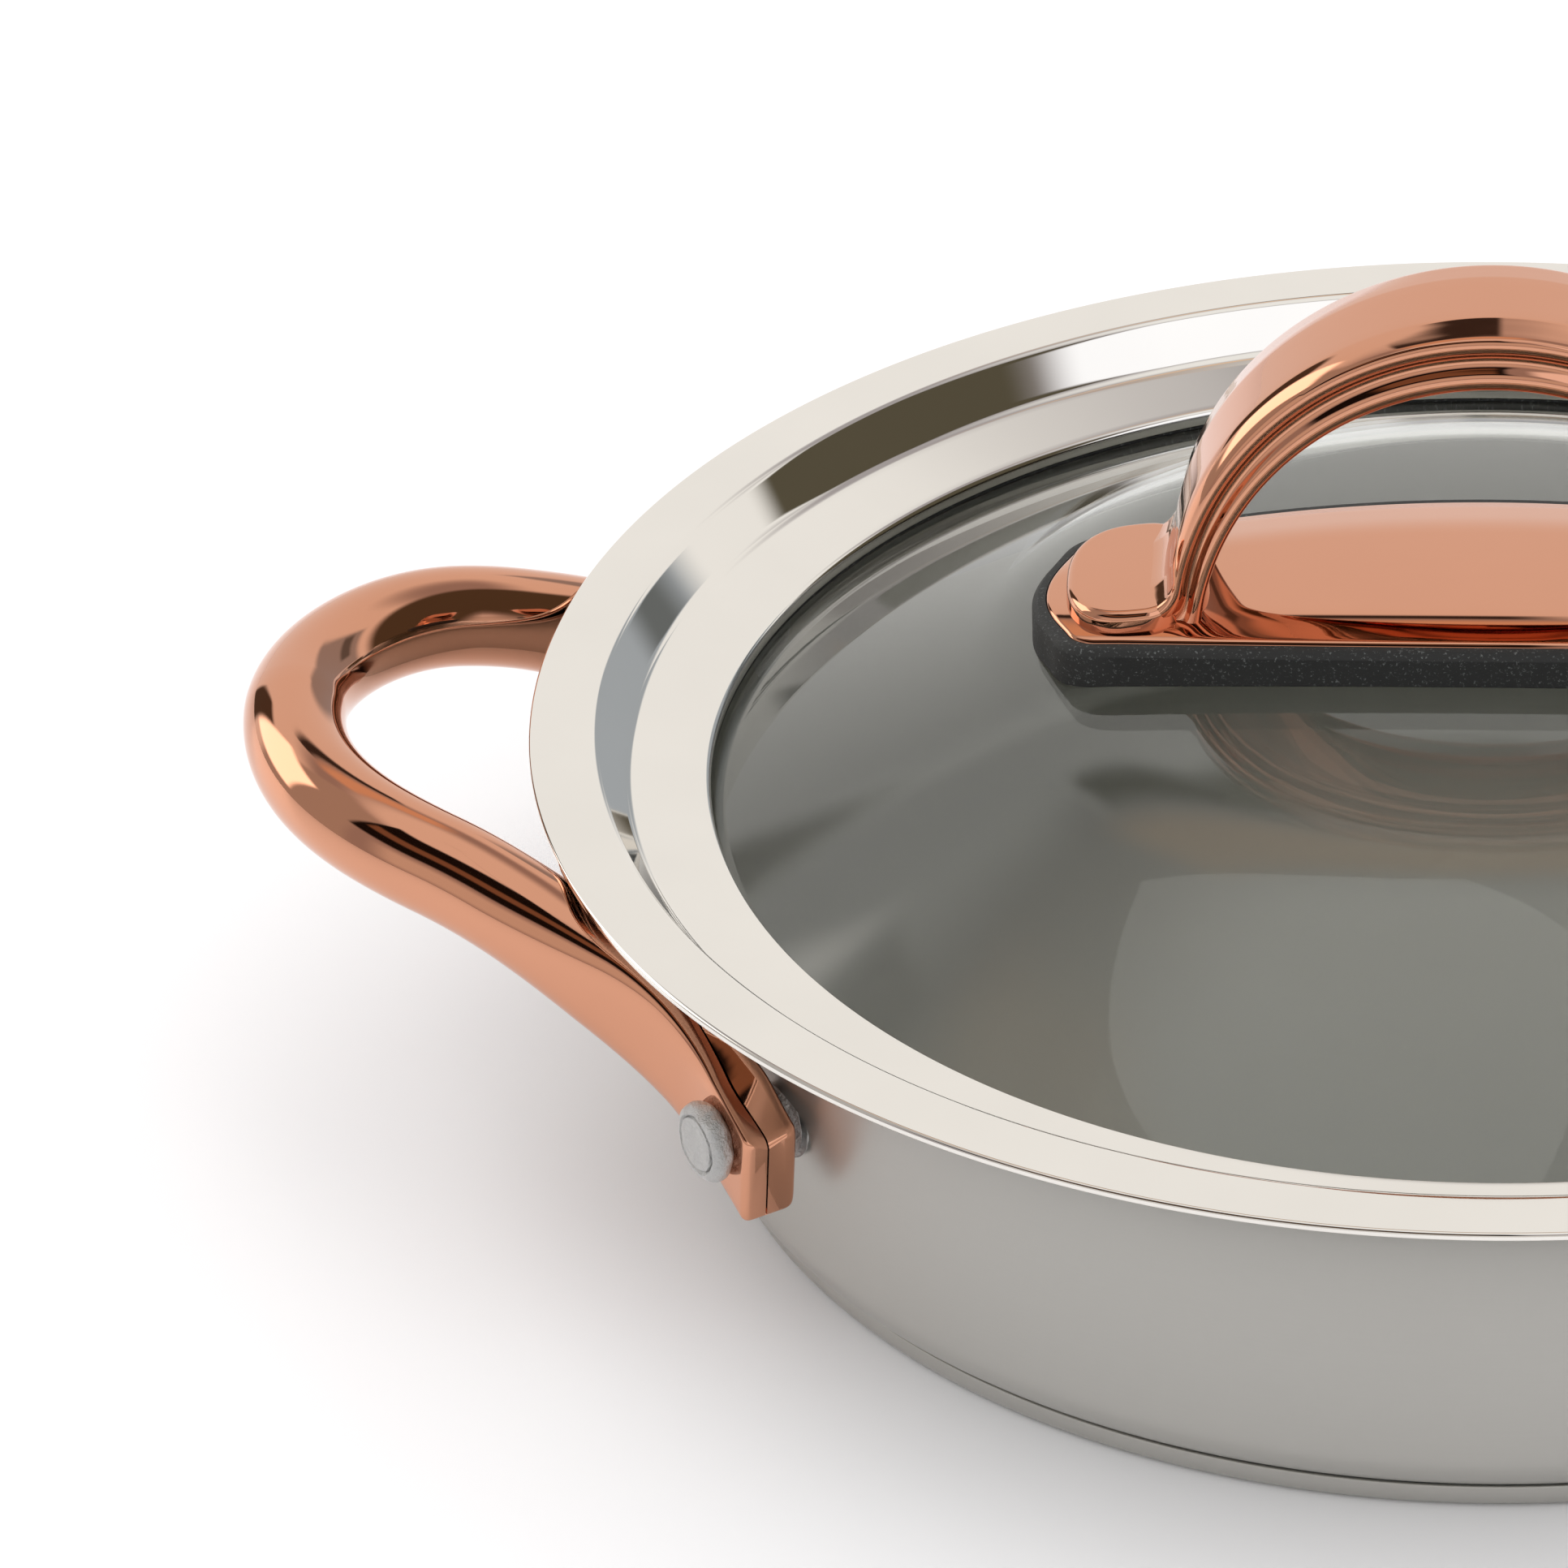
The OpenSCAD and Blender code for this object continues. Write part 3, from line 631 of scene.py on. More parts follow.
cap_path = [(0, 0)] + arc((BASE_R - BASE_EDGE, BASE_EDGE), BASE_EDGE, -90, 0, 14) + [(BASE_R, BASE_H)]
base = turn("base", rounded(sheet(cap_path, CAP_T), 0.2, 3, 60), satin_steel)
hand_over(base, "pan", "satin_steel", "base_cap")

# %% [markdown]
# ## The lid's rim
# The rim is pressed from one ring of polished steel: a rolled edge, a flat flange, a step down,
# a sloping band, and a lip turned down over the glass.

# %% Rim
LID_R, LID_Z, WINDOW_R, RIM_T = 129.98, 57.6, 105.6, 0.7
STEP_C, STEP_R = (LID_R - 8.4, LID_Z - 1.5), 1.5
VALLEY_C, VALLEY_R = (LID_R - 14.4, LID_Z - 4.1), 2.2
ROLL_C, ROLL_R = (WINDOW_R + 0.9, LID_Z - 8.7), 0.9

rim_path = [(LID_R, LID_Z - 1)] + arc((LID_R - 0.5, LID_Z - 0.5), 0.5, 0, 90, 8)
rim_path += [(LID_R - x, LID_Z) for x in (2, 4, 5, 6, 7, 7.5, 8)]
rim_path += arc(STEP_C, STEP_R, 90, 148, 12) + arc(VALLEY_C, VALLEY_R, -32, -81, 12)
BAND_A, roll = rim_path[-1], arc(ROLL_C, ROLL_R, 99, 180, 12)
BAND_B = roll[0]
rim_path += [BAND_A + (BAND_B - BAND_A) * t for t in np.linspace(0, 1, 12)[1:-1]]
rim_path += roll + [(WINDOW_R, LID_Z - 9.9)]
rim = turn("lid_rim_ring", rounded(sheet(rim_path, RIM_T), 0.3, 3, 60), mirror_steel)
hand_over(rim, "lid", "mirror_steel", "lid_rim")
BAND_RISE = (BAND_A[1] - BAND_B[1]) / (BAND_A[0] - BAND_B[0])


def band_under(x):
    """Height of the underside of the rim's sloping band."""
    return BAND_B[1] + (x - BAND_B[0]) * BAND_RISE - RIM_T * math.hypot(1, BAND_RISE)


# %% [markdown]
# A mirror shows its own unevenness before anything else, and pressed steel is never quite true.
# Custom normals say so without moving a point: they only change what the metal mirrors. Here the
# flange falls by two degrees at its inner edge, the step below it is gentler on the left, and the
# sloping band mirrors in front as if it leaned a little outwards.

# %% Uneven rim
def bend_normals(obj, bent):
    """Gives a mesh its own normals; bent gets a corner's place in mm and its normal."""
    mesh = obj.data
    places = np.array([v.co for v in mesh.vertices]) / MM
    wanted = []
    for loop, corner in zip(mesh.loops, mesh.corner_normals):
        n = bent(places[loop.vertex_index], np.array(corner.vector))
        wanted.append(tuple(n / np.linalg.norm(n)))
    mesh.normals_split_custom_set(wanted)


def ease(a, b, x):
    """0 up to a, 1 from b on, and smooth between."""
    u = min(1, max(0, (x - a) / (b - a)))
    return u * u * (3 - 2 * u)


UP = np.array([0, 0, 1])
FLANGE_IN_R, FLANGE_DIP, FLANGE_FADE = 121.0, 0.035, (1, 4.5)
STEP_SOFTER, STEP_LEFT = 0.5, (0.76, 0.86)
BAND_LEVEL, BAND_FRONT, BAND_FADE = 1.38, (-0.1, 0.75), 0.6


def rim_normal(place, n):
    """Bends the normals of the flange, of the step on the left, and of the band in front."""
    r = math.hypot(place[0], place[1])
    to_left, to_front = -place[0] / r, -place[1] / r
    band_low, band_high = BAND_B[0], BAND_A[0]
    if n[2] > 0.99 and r > FLANGE_IN_R:
        dip = FLANGE_DIP * (1 - ease(FLANGE_IN_R + FLANGE_FADE[0], FLANGE_IN_R + FLANGE_FADE[1], r))
        return n + np.array([to_left, to_front, 0]) * dip
    if 0.3 < n[2] < 0.8 and band_high < r < FLANGE_IN_R + BAND_FADE:
        return n + UP * STEP_SOFTER * ease(*STEP_LEFT, to_left)
    if n[2] > 0.8 and band_low - BAND_FADE < r < band_high + BAND_FADE:
        edges = ease(band_low - BAND_FADE, band_low, r) * (1 - ease(band_high, band_high + BAND_FADE, r))
        level = BAND_LEVEL * ease(*BAND_FRONT, to_front) * edges
        return n * (1 - level) + UP * level
    return n


bend_normals(rim, rim_normal)
print("the rim has", len(rim.data.loops), "corner normals of its own")

# %% [markdown]
# ## The glass
# The dome is pressed glass of even thickness: a shallow cap, a rounded shoulder and a straight
# slope that disappears under the rim. A soft ring holds its edge, and a rolled ring holds both.

# %% Glass and its seal
DOME_R, DOME_Z, GLASS_T = 350.0, 73.5, 3.0
CAP_SLOPE, SHOULDER_R, SHOULDER_SLOPE = 9, 60, 26
GLASS_EDGE_R = WINDOW_R + 3.4
DOME_C = DOME_Z - DOME_R
CAP_STEPS = 40


def turned_away(slope):
    """Unit vector that leans from the vertical by a slope in degrees."""
    return np.array([math.sin(math.radians(slope)), math.cos(math.radians(slope))])


cap_edge = np.array([0, DOME_C]) + DOME_R * turned_away(CAP_SLOPE)
shoulder_c = cap_edge - SHOULDER_R * turned_away(CAP_SLOPE)
slope_top = shoulder_c + SHOULDER_R * turned_away(SHOULDER_SLOPE)


def over(x):
    """Point of the slope's outer face at a distance from the axis."""
    return np.array([x, slope_top[1] - (x - slope_top[0]) * math.tan(math.radians(SHOULDER_SLOPE))])


def under(x, drop=0.0):
    """Point below the slope's inner face by a drop."""
    return over(x) - np.array([0, GLASS_T / math.cos(math.radians(SHOULDER_SLOPE)) + drop])


dome_path = [over(GLASS_EDGE_R)] + arc(shoulder_c, SHOULDER_R, 90 - SHOULDER_SLOPE, 90 - CAP_SLOPE, 24)
dome_path += arc((0, DOME_C), DOME_R, 90 - CAP_SLOPE * (CAP_STEPS - 1) / CAP_STEPS, 90, CAP_STEPS - 1)
glass = turn("glass_dome", rounded(sheet(dome_path, GLASS_T), 0.8, 4, 60), dome_glass)
hand_over(glass, "lid", "dome_glass", "lid_glass")

# %% [markdown]
# The soft seal wraps the edge of the glass, and keeps it off the metal above and below. The clamp
# ring is rolled from thin steel: it hooks under the seal and follows the rim's band outwards.
# Their profiles are worked out from the glass and the band, so they always fit between the two.

# %% Seal and clamp ring
SEAL_T, RING_T = 0.6, 0.6
HOLD_X = WINDOW_R + 1
SEAL_LOW = LID_Z - 9.95
seal_x = GLASS_EDGE_R + SEAL_T
seal_outline = [
    over(WINDOW_R + 0.1), over(GLASS_EDGE_R), under(GLASS_EDGE_R), under(HOLD_X), under(HOLD_X, SEAL_T),
    under(seal_x, SEAL_T), (seal_x, band_under(seal_x)),
    (HOLD_X, band_under(HOLD_X)), (HOLD_X, SEAL_LOW), (WINDOW_R + 0.1, SEAL_LOW)]
seal = turn("glass_seal_ring", rounded(seal_outline, 0.15, 2), black_silicone)
hand_over(seal, "lid", "black_silicone", "glass_seal")

gap = SEAL_T + 0.03
ring_x, ring_end = GLASS_EDGE_R + gap, GLASS_EDGE_R + 4.4
ring_path = [under(HOLD_X, gap), under(ring_x, gap), (ring_x, band_under(ring_x) - 0.5),
             (ring_x + 0.5, band_under(ring_x + 0.5)), (ring_end, band_under(ring_end))]
clamp = turn("clamp_ring", rounded(sheet(ring_path, -RING_T), 0.2, 3), mirror_steel)
hand_over(clamp, "lid", "mirror_steel", "lid_clamp_ring")

# %% [markdown]
# ## The side handles
# Each loop is a steel tube with a copper finish. It stays round where a hand holds it; along its
# legs it is pressed flat, with a valley on top, and ends in an ear that is riveted to the wall.
# A shape that changes all along its way is lofted: one section after another, each set square to
# the centre line. Both halves of the section are separate pieces that meet in a fine seam.

# %% Centre line of a loop
TUBE_R, LOOP_R, REACH, LOOP_TURN = 7.0, 37.3, 161.59, 63.5
RIVET_ANGLE, RIVET_Z = 31.5, 31.3
ROOT_W, EAR_W, EAR_T, EAR_R, SHELL_T = 18.0, 12.6, 7.0, 118.5, 1.0
EAR_LEAD, EAR_END = 4.0, 7.0
GENTLE, STEEP, KNEE_S, KNEE_L = 0.055, 0.556, 45.2, 7.5
END_LEAN, END_WALL = 0.42, 1.2

EAR_WAY, LEG_WAY = 90 + RIVET_ANGLE, 90 + LOOP_TURN


def compass(degrees):
    """Unit vector at an angle in the plane."""
    return np.array([math.cos(math.radians(degrees)), math.sin(math.radians(degrees))])


bend_c = np.array([REACH - LOOP_R, 0])
leg_start = bend_c + LOOP_R * compass(LOOP_TURN)
rivet_p = EAR_R * compass(RIVET_ANGLE)
leg_gap = rivet_p - EAR_LEAD * compass(EAR_WAY) - leg_start
back_bend = np.array([compass(LEG_WAY)[1] - compass(EAR_WAY)[1], compass(EAR_WAY)[0] - compass(LEG_WAY)[0]])
leg_l, back_r = np.linalg.solve(np.column_stack([compass(LEG_WAY), back_bend]), leg_gap)
LEN_1 = LOOP_R * math.radians(LOOP_TURN)
LEN_2 = LEN_1 + leg_l
LEN_3 = LEN_2 + back_r * math.radians(LEG_WAY - EAR_WAY)
RIVET_S = LEN_3 + EAR_LEAD
PATH_LEN = RIVET_S + EAR_END
print(f"leg {leg_l:.1f} mm, back bend radius {back_r:.1f} mm, half loop {PATH_LEN:.1f} mm")


def way(s):
    """Heading of the centre line at a length from the middle of the loop."""
    if s < LEN_1:
        return 90 + math.degrees(s / LOOP_R)
    if s < LEN_2:
        return LEG_WAY
    return LEG_WAY - math.degrees((s - LEN_2) / back_r) if s < LEN_3 else EAR_WAY


def plan(s):
    """Place of the centre line, seen from above."""
    if s < LEN_1:
        return bend_c + LOOP_R * compass(way(s) - 90)
    if s < LEN_2:
        return leg_start + (s - LEN_1) * compass(LEG_WAY)
    if s < LEN_3:
        here, start = compass(way(s)), compass(LEG_WAY)
        return leg_start + leg_l * start + back_r * np.array([start[1] - here[1], here[0] - start[0]])
    return rivet_p + (s - RIVET_S) * compass(EAR_WAY)


def fall(s):
    """How far the centre line has come down: gently first, and steeply past the knee."""
    return GENTLE * s + (STEEP - GENTLE) * KNEE_L * math.log(1 + math.exp((s - KNEE_S) / KNEE_L))


def slope(s):
    """How steeply the centre line comes down there."""
    return GENTLE + (STEEP - GENTLE) / (1 + math.exp((KNEE_S - s) / KNEE_L))


# %% [markdown]
# Half a section is a quarter of a circle above and one below. A power below 1 makes it squarer,
# so the round tube turns into a flat ear as the power falls. At the ear the inner half swells a
# little, towards the spacer.

# %% Section of a loop
SEAM = 0.12
EAR_ROUND, EAR_SWELL = 1.1, 1.1
VALLEY, VALLEY_END = 2.6, 1.6
SQUARER, EAR_SQUARER = 0.62, 0.16


def skin_point(s, w, t, side):
    """Point of the section at angle w, shrunk by t, with the valley pressed in at the top."""
    flat = ease(LEN_1 + 8, LEN_3 + 4, s)
    half_x = TUBE_R + (EAR_T / 2 - TUBE_R) * flat - t
    if side < 0:
        half_x += EAR_SWELL * ease(RIVET_S - 10, RIVET_S - 2, s)
    half_y = TUBE_R + (ROOT_W / 2 - TUBE_R) * flat - (ROOT_W - EAR_W) / 2 * ease(LEN_2, PATH_LEN, s) - t
    power = 1 - SQUARER * flat - EAR_SQUARER * ease(LEN_3 - 6, RIVET_S, s)
    c, n = max(math.cos(math.radians(w)), 0), math.sin(math.radians(w))
    x = half_x * c ** power
    y = half_y * math.copysign(abs(n) ** power, n)
    valley = VALLEY * ease(LEN_1 + 14, LEN_3 + 2, s) - VALLEY_END * ease(RIVET_S - 5, PATH_LEN, s)
    if w > 45:
        y -= valley * (1 - x / half_x) ** 1.5
    seam = SEAM * ease(LEN_1 + 16, LEN_3, s)
    return np.array([seam + x * (1 - seam / half_x), y])


def placed(s, q, side):
    """Section point q in the pan's frame, on the outer (1) or inner (-1) side."""
    l, a = abs(s), way(abs(s))
    tangent = np.array([*compass(a), -slope(l)]) / math.hypot(1, slope(l))
    across = np.array([math.sin(math.radians(a)), -math.cos(math.radians(a)), 0])
    upward = np.cross(across, tangent)
    lean = END_LEAN * ease(RIVET_S - 6, PATH_LEN, l)
    height = RIVET_Z + fall(RIVET_S) - fall(l)
    p = np.array([*plan(l), height]) + side * q[0] * across + q[1] * (upward - lean * tangent)
    return np.array([p[0], -p[1] if s < 0 else p[1], p[2]])


# %% [markdown]
# The loft sets a section at each station along the centre line, closer together where the ear
# rounds off. Many small flat faces would show on polished copper, so the outer face takes its
# normals from the surface itself: the slope along it and the slope across it, crossed.

# %% Lofting a loop
HALF_STEPS, STATION_STEP = 30, 1.2
ANGLES = np.linspace(90, -90, HALF_STEPS + 1)
ends = [PATH_LEN - EAR_ROUND * (1 - math.sin(math.radians(a))) for a in (0, 15, 30, 45, 60, 75)]
half_way = list(np.arange(STATION_STEP / 2, PATH_LEN - EAR_ROUND, STATION_STEP)) + sorted(ends)
stations = [-s for s in reversed(half_way)] + half_way


def end_shrink(s):
    """How much the section draws in over the ear's rounded end."""
    over_end = abs(s) - (PATH_LEN - EAR_ROUND)
    if over_end <= 0:
        return 0.0
    return EAR_ROUND * (1 - math.sqrt(max(0, 1 - (over_end / EAR_ROUND) ** 2)))


def half_section(s, side):
    """Closed outline of one half's wall: the outer face downwards, then the inner face up."""
    outside = [skin_point(abs(s), w, end_shrink(s), side) for w in ANGLES]
    inside = [skin_point(abs(s), w, SHELL_T, side) for w in ANGLES[::-1]]
    if abs(s) > PATH_LEN - END_WALL:
        inside = [np.array([outside[0][0], q[1]]) for q in inside]
        low, high = outside[-1][1], outside[0][1]
        inside = [np.array([q[0], min(max(q[1], low), high)]) for q in inside]
    return outside + inside


def loft_half(name, side, turned_round):
    """One pressed half of a loop. Its outer face takes its normals from the lofted surface."""
    n, m = 2 * (HALF_STEPS + 1), len(stations)
    points = np.array([placed(s, q, side) for s in stations for q in half_section(s, side)])
    points[:, :2] *= -1 if turned_round else 1
    faces = skin_faces(m, n)
    faces += [tuple(range(n - 1, -1, -1)), tuple((m - 1) * n + j for j in range(n))]
    if side < 0:
        faces = [f[::-1] for f in faces]
    obj = raw_object(name, points, [], faces)
    mesh = obj.data
    mesh.materials.append(copper_finish)
    mesh.shade_smooth()
    mesh.set_sharp_from_angle(angle=math.radians(40))
    grid = points.reshape(m, n, 3)[:, :HALF_STEPS + 1]
    along, across = (np.gradient(grid, axis=axis, edge_order=2) for axis in (0, 1))
    smooth = side * np.cross(across, along)
    smooth /= np.linalg.norm(smooth, axis=2, keepdims=True) + 1e-12
    wanted = []
    for face in mesh.polygons:
        on_skin = face.index < (m - 1) * n and face.index % n < HALF_STEPS
        for k in face.loop_indices:
            i, j = divmod(mesh.loops[k].vertex_index, n)
            wanted.append(tuple(smooth[i, j]) if on_skin else (0.0, 0.0, 0.0))
    mesh.normals_split_custom_set(wanted)
    return obj


print(len(stations), "sections in each half of a loop")
for hand in ("left", "right"):
    for half, side in (("outer", 1), ("inner", -1)):
        shell = loft_half(f"{hand}_loop_{half}", side, hand == "left")
        hand_over(shell, "pan", "copper_finish", f"{hand}_handle_{half}_shell")

# %% [markdown]
# ## Rivets and spacers
# Four solid rivets hold the ears, each with a trumpet-shaped spacer against the wall. They are
# alike, so one of each is turned on the lathe, and a second tree puts copies at the four ears.
# The hammer's dents come from a little noise that pushes the surface in along its normal. The
# tree numbers the four points and works out each one's direction from the pan's centre.

# %% Tree that repeats a fastener at the ears
ears = new_tree("ears", [("Angle", NUMBER), ("Distance", NUMBER), ("Height", NUMBER),
                         ("Dents", NUMBER), ("Material", MATERIAL)])
given = put(ears, "NodeGroupInput")
number = put(ears, "GeometryNodeInputIndex").outputs[0]
half_turn = tree_math(ears, "MULTIPLY", tree_math(ears, "GREATER_THAN", number, 1.5), math.pi)
rear = tree_math(ears, "MODULO", number, 2.0)
way_round = tree_math(ears, "SUBTRACT", tree_math(ears, "MULTIPLY", rear, 2.0), 1.0)
azimuth = tree_math(ears, "ADD", half_turn, tree_math(ears, "MULTIPLY", way_round, given.outputs["Angle"]))
place = put(ears, "ShaderNodeCombineXYZ", {}, {
    0: tree_math(ears, "MULTIPLY", given.outputs["Distance"], tree_math(ears, "COSINE", azimuth, 0.0)),
    1: tree_math(ears, "MULTIPLY", given.outputs["Distance"], tree_math(ears, "SINE", azimuth, 0.0)),
    2: given.outputs["Height"]})
facing = put(ears, "ShaderNodeCombineXYZ", {}, {0: 0.0, 1: math.pi / 2, 2: azimuth})
four = copies_at(ears, given, 4, place.outputs[0], facing.outputs[0])
loose = put(ears, "GeometryNodeRealizeInstances", {}, {0: four})
bumps = put(ears, "ShaderNodeTexNoise", {}, {"Scale": 420.0, "Detail": 1.0})
mostly_in = tree_math(ears, "SUBTRACT", bumps.outputs[0], 0.75)
dent = tree_math(ears, "MULTIPLY", mostly_in, given.outputs["Dents"])
outward = put(ears, "GeometryNodeInputNormal")
push = put(ears, "ShaderNodeVectorMath", {"operation": "SCALE"}, {0: outward.outputs[0], "Scale": dent})
dented = put(ears, "GeometryNodeSetPosition", {}, {"Geometry": loose.outputs[0], "Offset": push.outputs[0]})
close_tree(ears, dented.outputs[0], given.outputs["Material"])
print("the ears tree has", len(ears.nodes), "nodes")


def finer(outline, step):
    """The outline with its long sides divided."""
    made = []
    for a, b in zip(outline, outline[1:]):
        a, b = np.array(a, float), np.array(b, float)
        parts = max(1, round(np.linalg.norm(b - a) / step))
        made += [a + (b - a) * t for t in np.arange(0, 1, 1 / parts)]
    return made + [np.array(outline[-1], float)]


# %% [markdown]
# A rivet here is a pin with a low dome inside the pan and a stepped head outside. A spacer is a
# short tube with a flared foot. It keeps the ear off the wall, so that the loop stays cooler than
# the pan. Their heights are measured outwards from the middle of the ear.

# %% Rivets and spacers
RIVET_R, HEAD_R, HEAD_H, HEAD_EDGE = 3.0, 5.4, 3.1, 1.5
INNER_R, INNER_DOME_R, INNER_H = 6.0, 9, 2
SPACER_FOOT_R, SPACER_TIP_R = 5.4, 4.2
SEAT_GAP, SLIP = 0.12, 0.05
WALL_R = 112.4
head_z = EAR_T / 2 + SEAT_GAP
head_top = head_z + HEAD_H
inner_z = WALL_R - PAN_T - EAR_R
dome_end = -90 + math.degrees(math.asin(INNER_R / INNER_DOME_R))
rivet_outline = arc((0, inner_z + INNER_DOME_R - INNER_H), INNER_DOME_R, -90, dome_end, 12)
rivet_outline += [(INNER_R, inner_z - SLIP), (RIVET_R, inner_z - SLIP)]
rivet_outline += [(RIVET_R, head_z), (HEAD_R - 1, head_z)]
rivet_outline += arc((HEAD_R - HEAD_EDGE, head_z + HEAD_EDGE), HEAD_EDGE, -50, 75, 8)
rivet_outline += [(3.8, head_top - 0.6), (3.6, head_top - 0.1), (3.2, head_top), (0, head_top - 0.05)]

foot, tip = WALL_R - EAR_R - 0.2, -EAR_T / 2 - SEAT_GAP - EAR_SWELL
spacer_foot, foot_aim = (SPACER_FOOT_R, foot + 0.15), (4.6, foot + 0.3)
spacer_tip, tip_aim = (SPACER_TIP_R, tip), (SPACER_TIP_R, tip - 0.5)
spacer_outline = [(RIVET_R + SLIP, foot), (SPACER_FOOT_R, foot)]
spacer_outline += cubic(spacer_foot, foot_aim, tip_aim, spacer_tip, 14)
spacer_outline += [(RIVET_R + SLIP, tip)]

ear_names = ("left_front", "left_rear", "right_front", "right_rear")
for name, outline, dents in (("rivets", finer(rivet_outline, 0.35), 0.5), ("spacers", spacer_outline, 0.35)):
    one = turn(name, outline, rivet_aluminium, 72, 50, ON_AXIS)
    run_tree(one, ears, rivet_aluminium, 50, angle=math.radians(RIVET_ANGLE), distance=EAR_R * MM,
             height=RIVET_Z * MM, dents=dents * MM, material=rivet_aluminium)
    hand_over(one, "pan", "rivet_aluminium", *(f"{ear}_{name[:-1]}" for ear in ear_names))

# %% [markdown]
# ## The lid's handle
# A silicone pad lies on the glass and holds a copper plate; on the plate stands a grab arch with
# a tongue-shaped foot at each end. The handle is turned by 3 degrees on the lid, so its pieces
# are made straight, in a frame of its own, and turned at the end.

# %% The handle's frame
ON_LID = math.radians(-3)
ACROSS = np.array([-math.sin(ON_LID), math.cos(ON_LID), 0])
PLATE_R, PLATE_Z, PLATE_T = 425.0, 78.7, 1.5
PLATE_HALF = (59.8, 19.8)
PLATE_C = PLATE_Z - PLATE_R


def to_lid(x, y):
    """A place in the handle's frame, as the lid's frame says it."""
    c, n = math.cos(ON_LID), math.sin(ON_LID)
    return x * c - y * n, x * n + y * c


def to_handle(x, y):
    """A place in the lid's frame, as the handle's frame says it."""
    c, n = math.cos(ON_LID), math.sin(ON_LID)
    return x * c + y * n, y * c - x * n


def on_ball(lift=0.0):
    """A function of the place that gives the height of the plate's domed top, lifted."""
    return lambda x, y: PLATE_C + math.sqrt((PLATE_R + lift) ** 2 - x * x - y * y)


def on_glass(x, y):
    """Height of the glass's outer face at a place."""
    r = math.hypot(x, y)
    if r <= cap_edge[0]:
        return DOME_C + math.sqrt(DOME_R ** 2 - r * r)
    if r <= slope_top[0]:
        return shoulder_c[1] + math.sqrt(SHOULDER_R ** 2 - (r - shoulder_c[0]) ** 2)
    return over(r)[1]


print("the handle's long side points to", [round(v, 1) for v in to_lid(PLATE_HALF[0], 0)], "mm")

# %% [markdown]
# ## Pieces from stacked rings
# The pad and the plate are oblongs with bowed sides. Only a quarter of such an outline is worked
# out, and mirrored twice. A piece is then a stack of rings: the same outline again and again,
# smaller or larger, each laid on a curved surface at its own height.

# %% Outlines
BOW_R, END_BOW = 247.0, 3.0
FOOT_NARROWS = 0.09


def bowed_side(b, x):
    """How far out the bowed long side is at x, where its middle is at b."""
    return b - BOW_R + math.sqrt(BOW_R ** 2 - x * x)


def barrel(a, b, corner):
    """Outline with bowed sides and ends and rounded corners, clockwise seen from above."""
    cx = a - END_BOW - corner
    cy = bowed_side(b, cx) - corner
    quarter = [np.array([x, bowed_side(b, x)]) for x in np.linspace(0, cx, 20, endpoint=False)]
    quarter += arc((cx, cy), corner, 78, 18, 12)
    quarter += [np.array([a - END_BOW * (y / cy) ** 2 * 0.85, y]) for y in np.linspace(cy, 0, 9)[1:]]
    flip_y, flip_x = np.array([1, -1]), np.array([-1, 1])
    half = quarter + [q * flip_y for q in quarter[-2::-1]]
    return half + [q * flip_x for q in half[-2:0:-1]]


def tongue_outline(side, middle, half, power, steps):
    """Outline of a foot, narrower where it meets its leg, anticlockwise seen from above."""
    made = []
    for w in np.linspace(0, 2 * math.pi, steps, endpoint=False):
        c, n = math.cos(w), math.sin(w)
        half_y = half[1] * (1 - FOOT_NARROWS * ease(0.1, 0.7, -c))
        x = middle + half[0] * math.copysign(abs(c) ** power, c)
        y = half_y * math.copysign(abs(n) ** power, n)
        made.append(np.array([side * x, y]))
    return made if side > 0 else made[::-1]


def inset(outline, distance, way=1):
    """The outline moved inwards; the way is 1 if it runs clockwise and -1 if it doesn't."""
    made = []
    count = len(outline)
    for i, p in enumerate(outline):
        d = outline[(i + 1) % count] - outline[i - 1]
        d = d / np.linalg.norm(d)
        n = np.array([d[1], -d[0]])
        made.append(p + n * distance * way)
    return made


# %% [markdown]
# A stack needs few tools: laying an outline on a surface, shrinking it to fill an area, and
# rounding an edge by drawing the outline in while it rises. The ends are closed at their middles.

# %% Stacks
def at_heights(outline, height_of, lift=0.0):
    """The outline laid on a surface, as points with heights."""
    return [(p[0], p[1], height_of(p[0], p[1]) + lift) for p in outline]


def shrunk(outline, share, middle=0.0):
    """The outline drawn in to a share of its size, about a point on the x axis."""
    return [np.array([middle + (p[0] - middle) * share, p[1] * share]) for p in outline]


def filling(outline, shares, height_of, middle=0.0):
    """Rings that cover the inside of an outline."""
    return [at_heights(shrunk(outline, share, middle), height_of) for share in shares]


def round_edge(outline, radius, top, steps, way=1):
    """Rings that round off the upper edge of a piece whose top is lifted that far."""
    made = []
    for w in np.radians(np.linspace(0, 90, steps)):
        draw_in, lower = radius * (1 - math.cos(w)), radius * (1 - math.sin(w))
        made.append(at_heights(inset(outline, draw_in, way), on_ball(top - lower)))
    return made


def stack(name, rings, finish, sharp=40):
    """A closed piece from rings of equally many points; its first and last ring are filled."""
    count = len(rings[0])
    points = [tuple(p) for r in rings for p in r]
    faces = skin_faces(len(rings), count)
    for start, ring_points in ((0, rings[0]), ((len(rings) - 1) * count, rings[-1])):
        middle = len(points)
        points.append(tuple(np.mean(np.array(ring_points), axis=0)))
        faces += [(start + j, start + (j + 1) % count, middle) for j in range(count)]
    obj = raw_object(name, [(*to_lid(x, y), z) for x, y, z in points], [], faces)
    obj.data.materials.append(finish)
    weld(obj.data, 1e-7, sharp)
    print(name, "is a stack of", len(rings), "rings of", count, "points")
    return obj


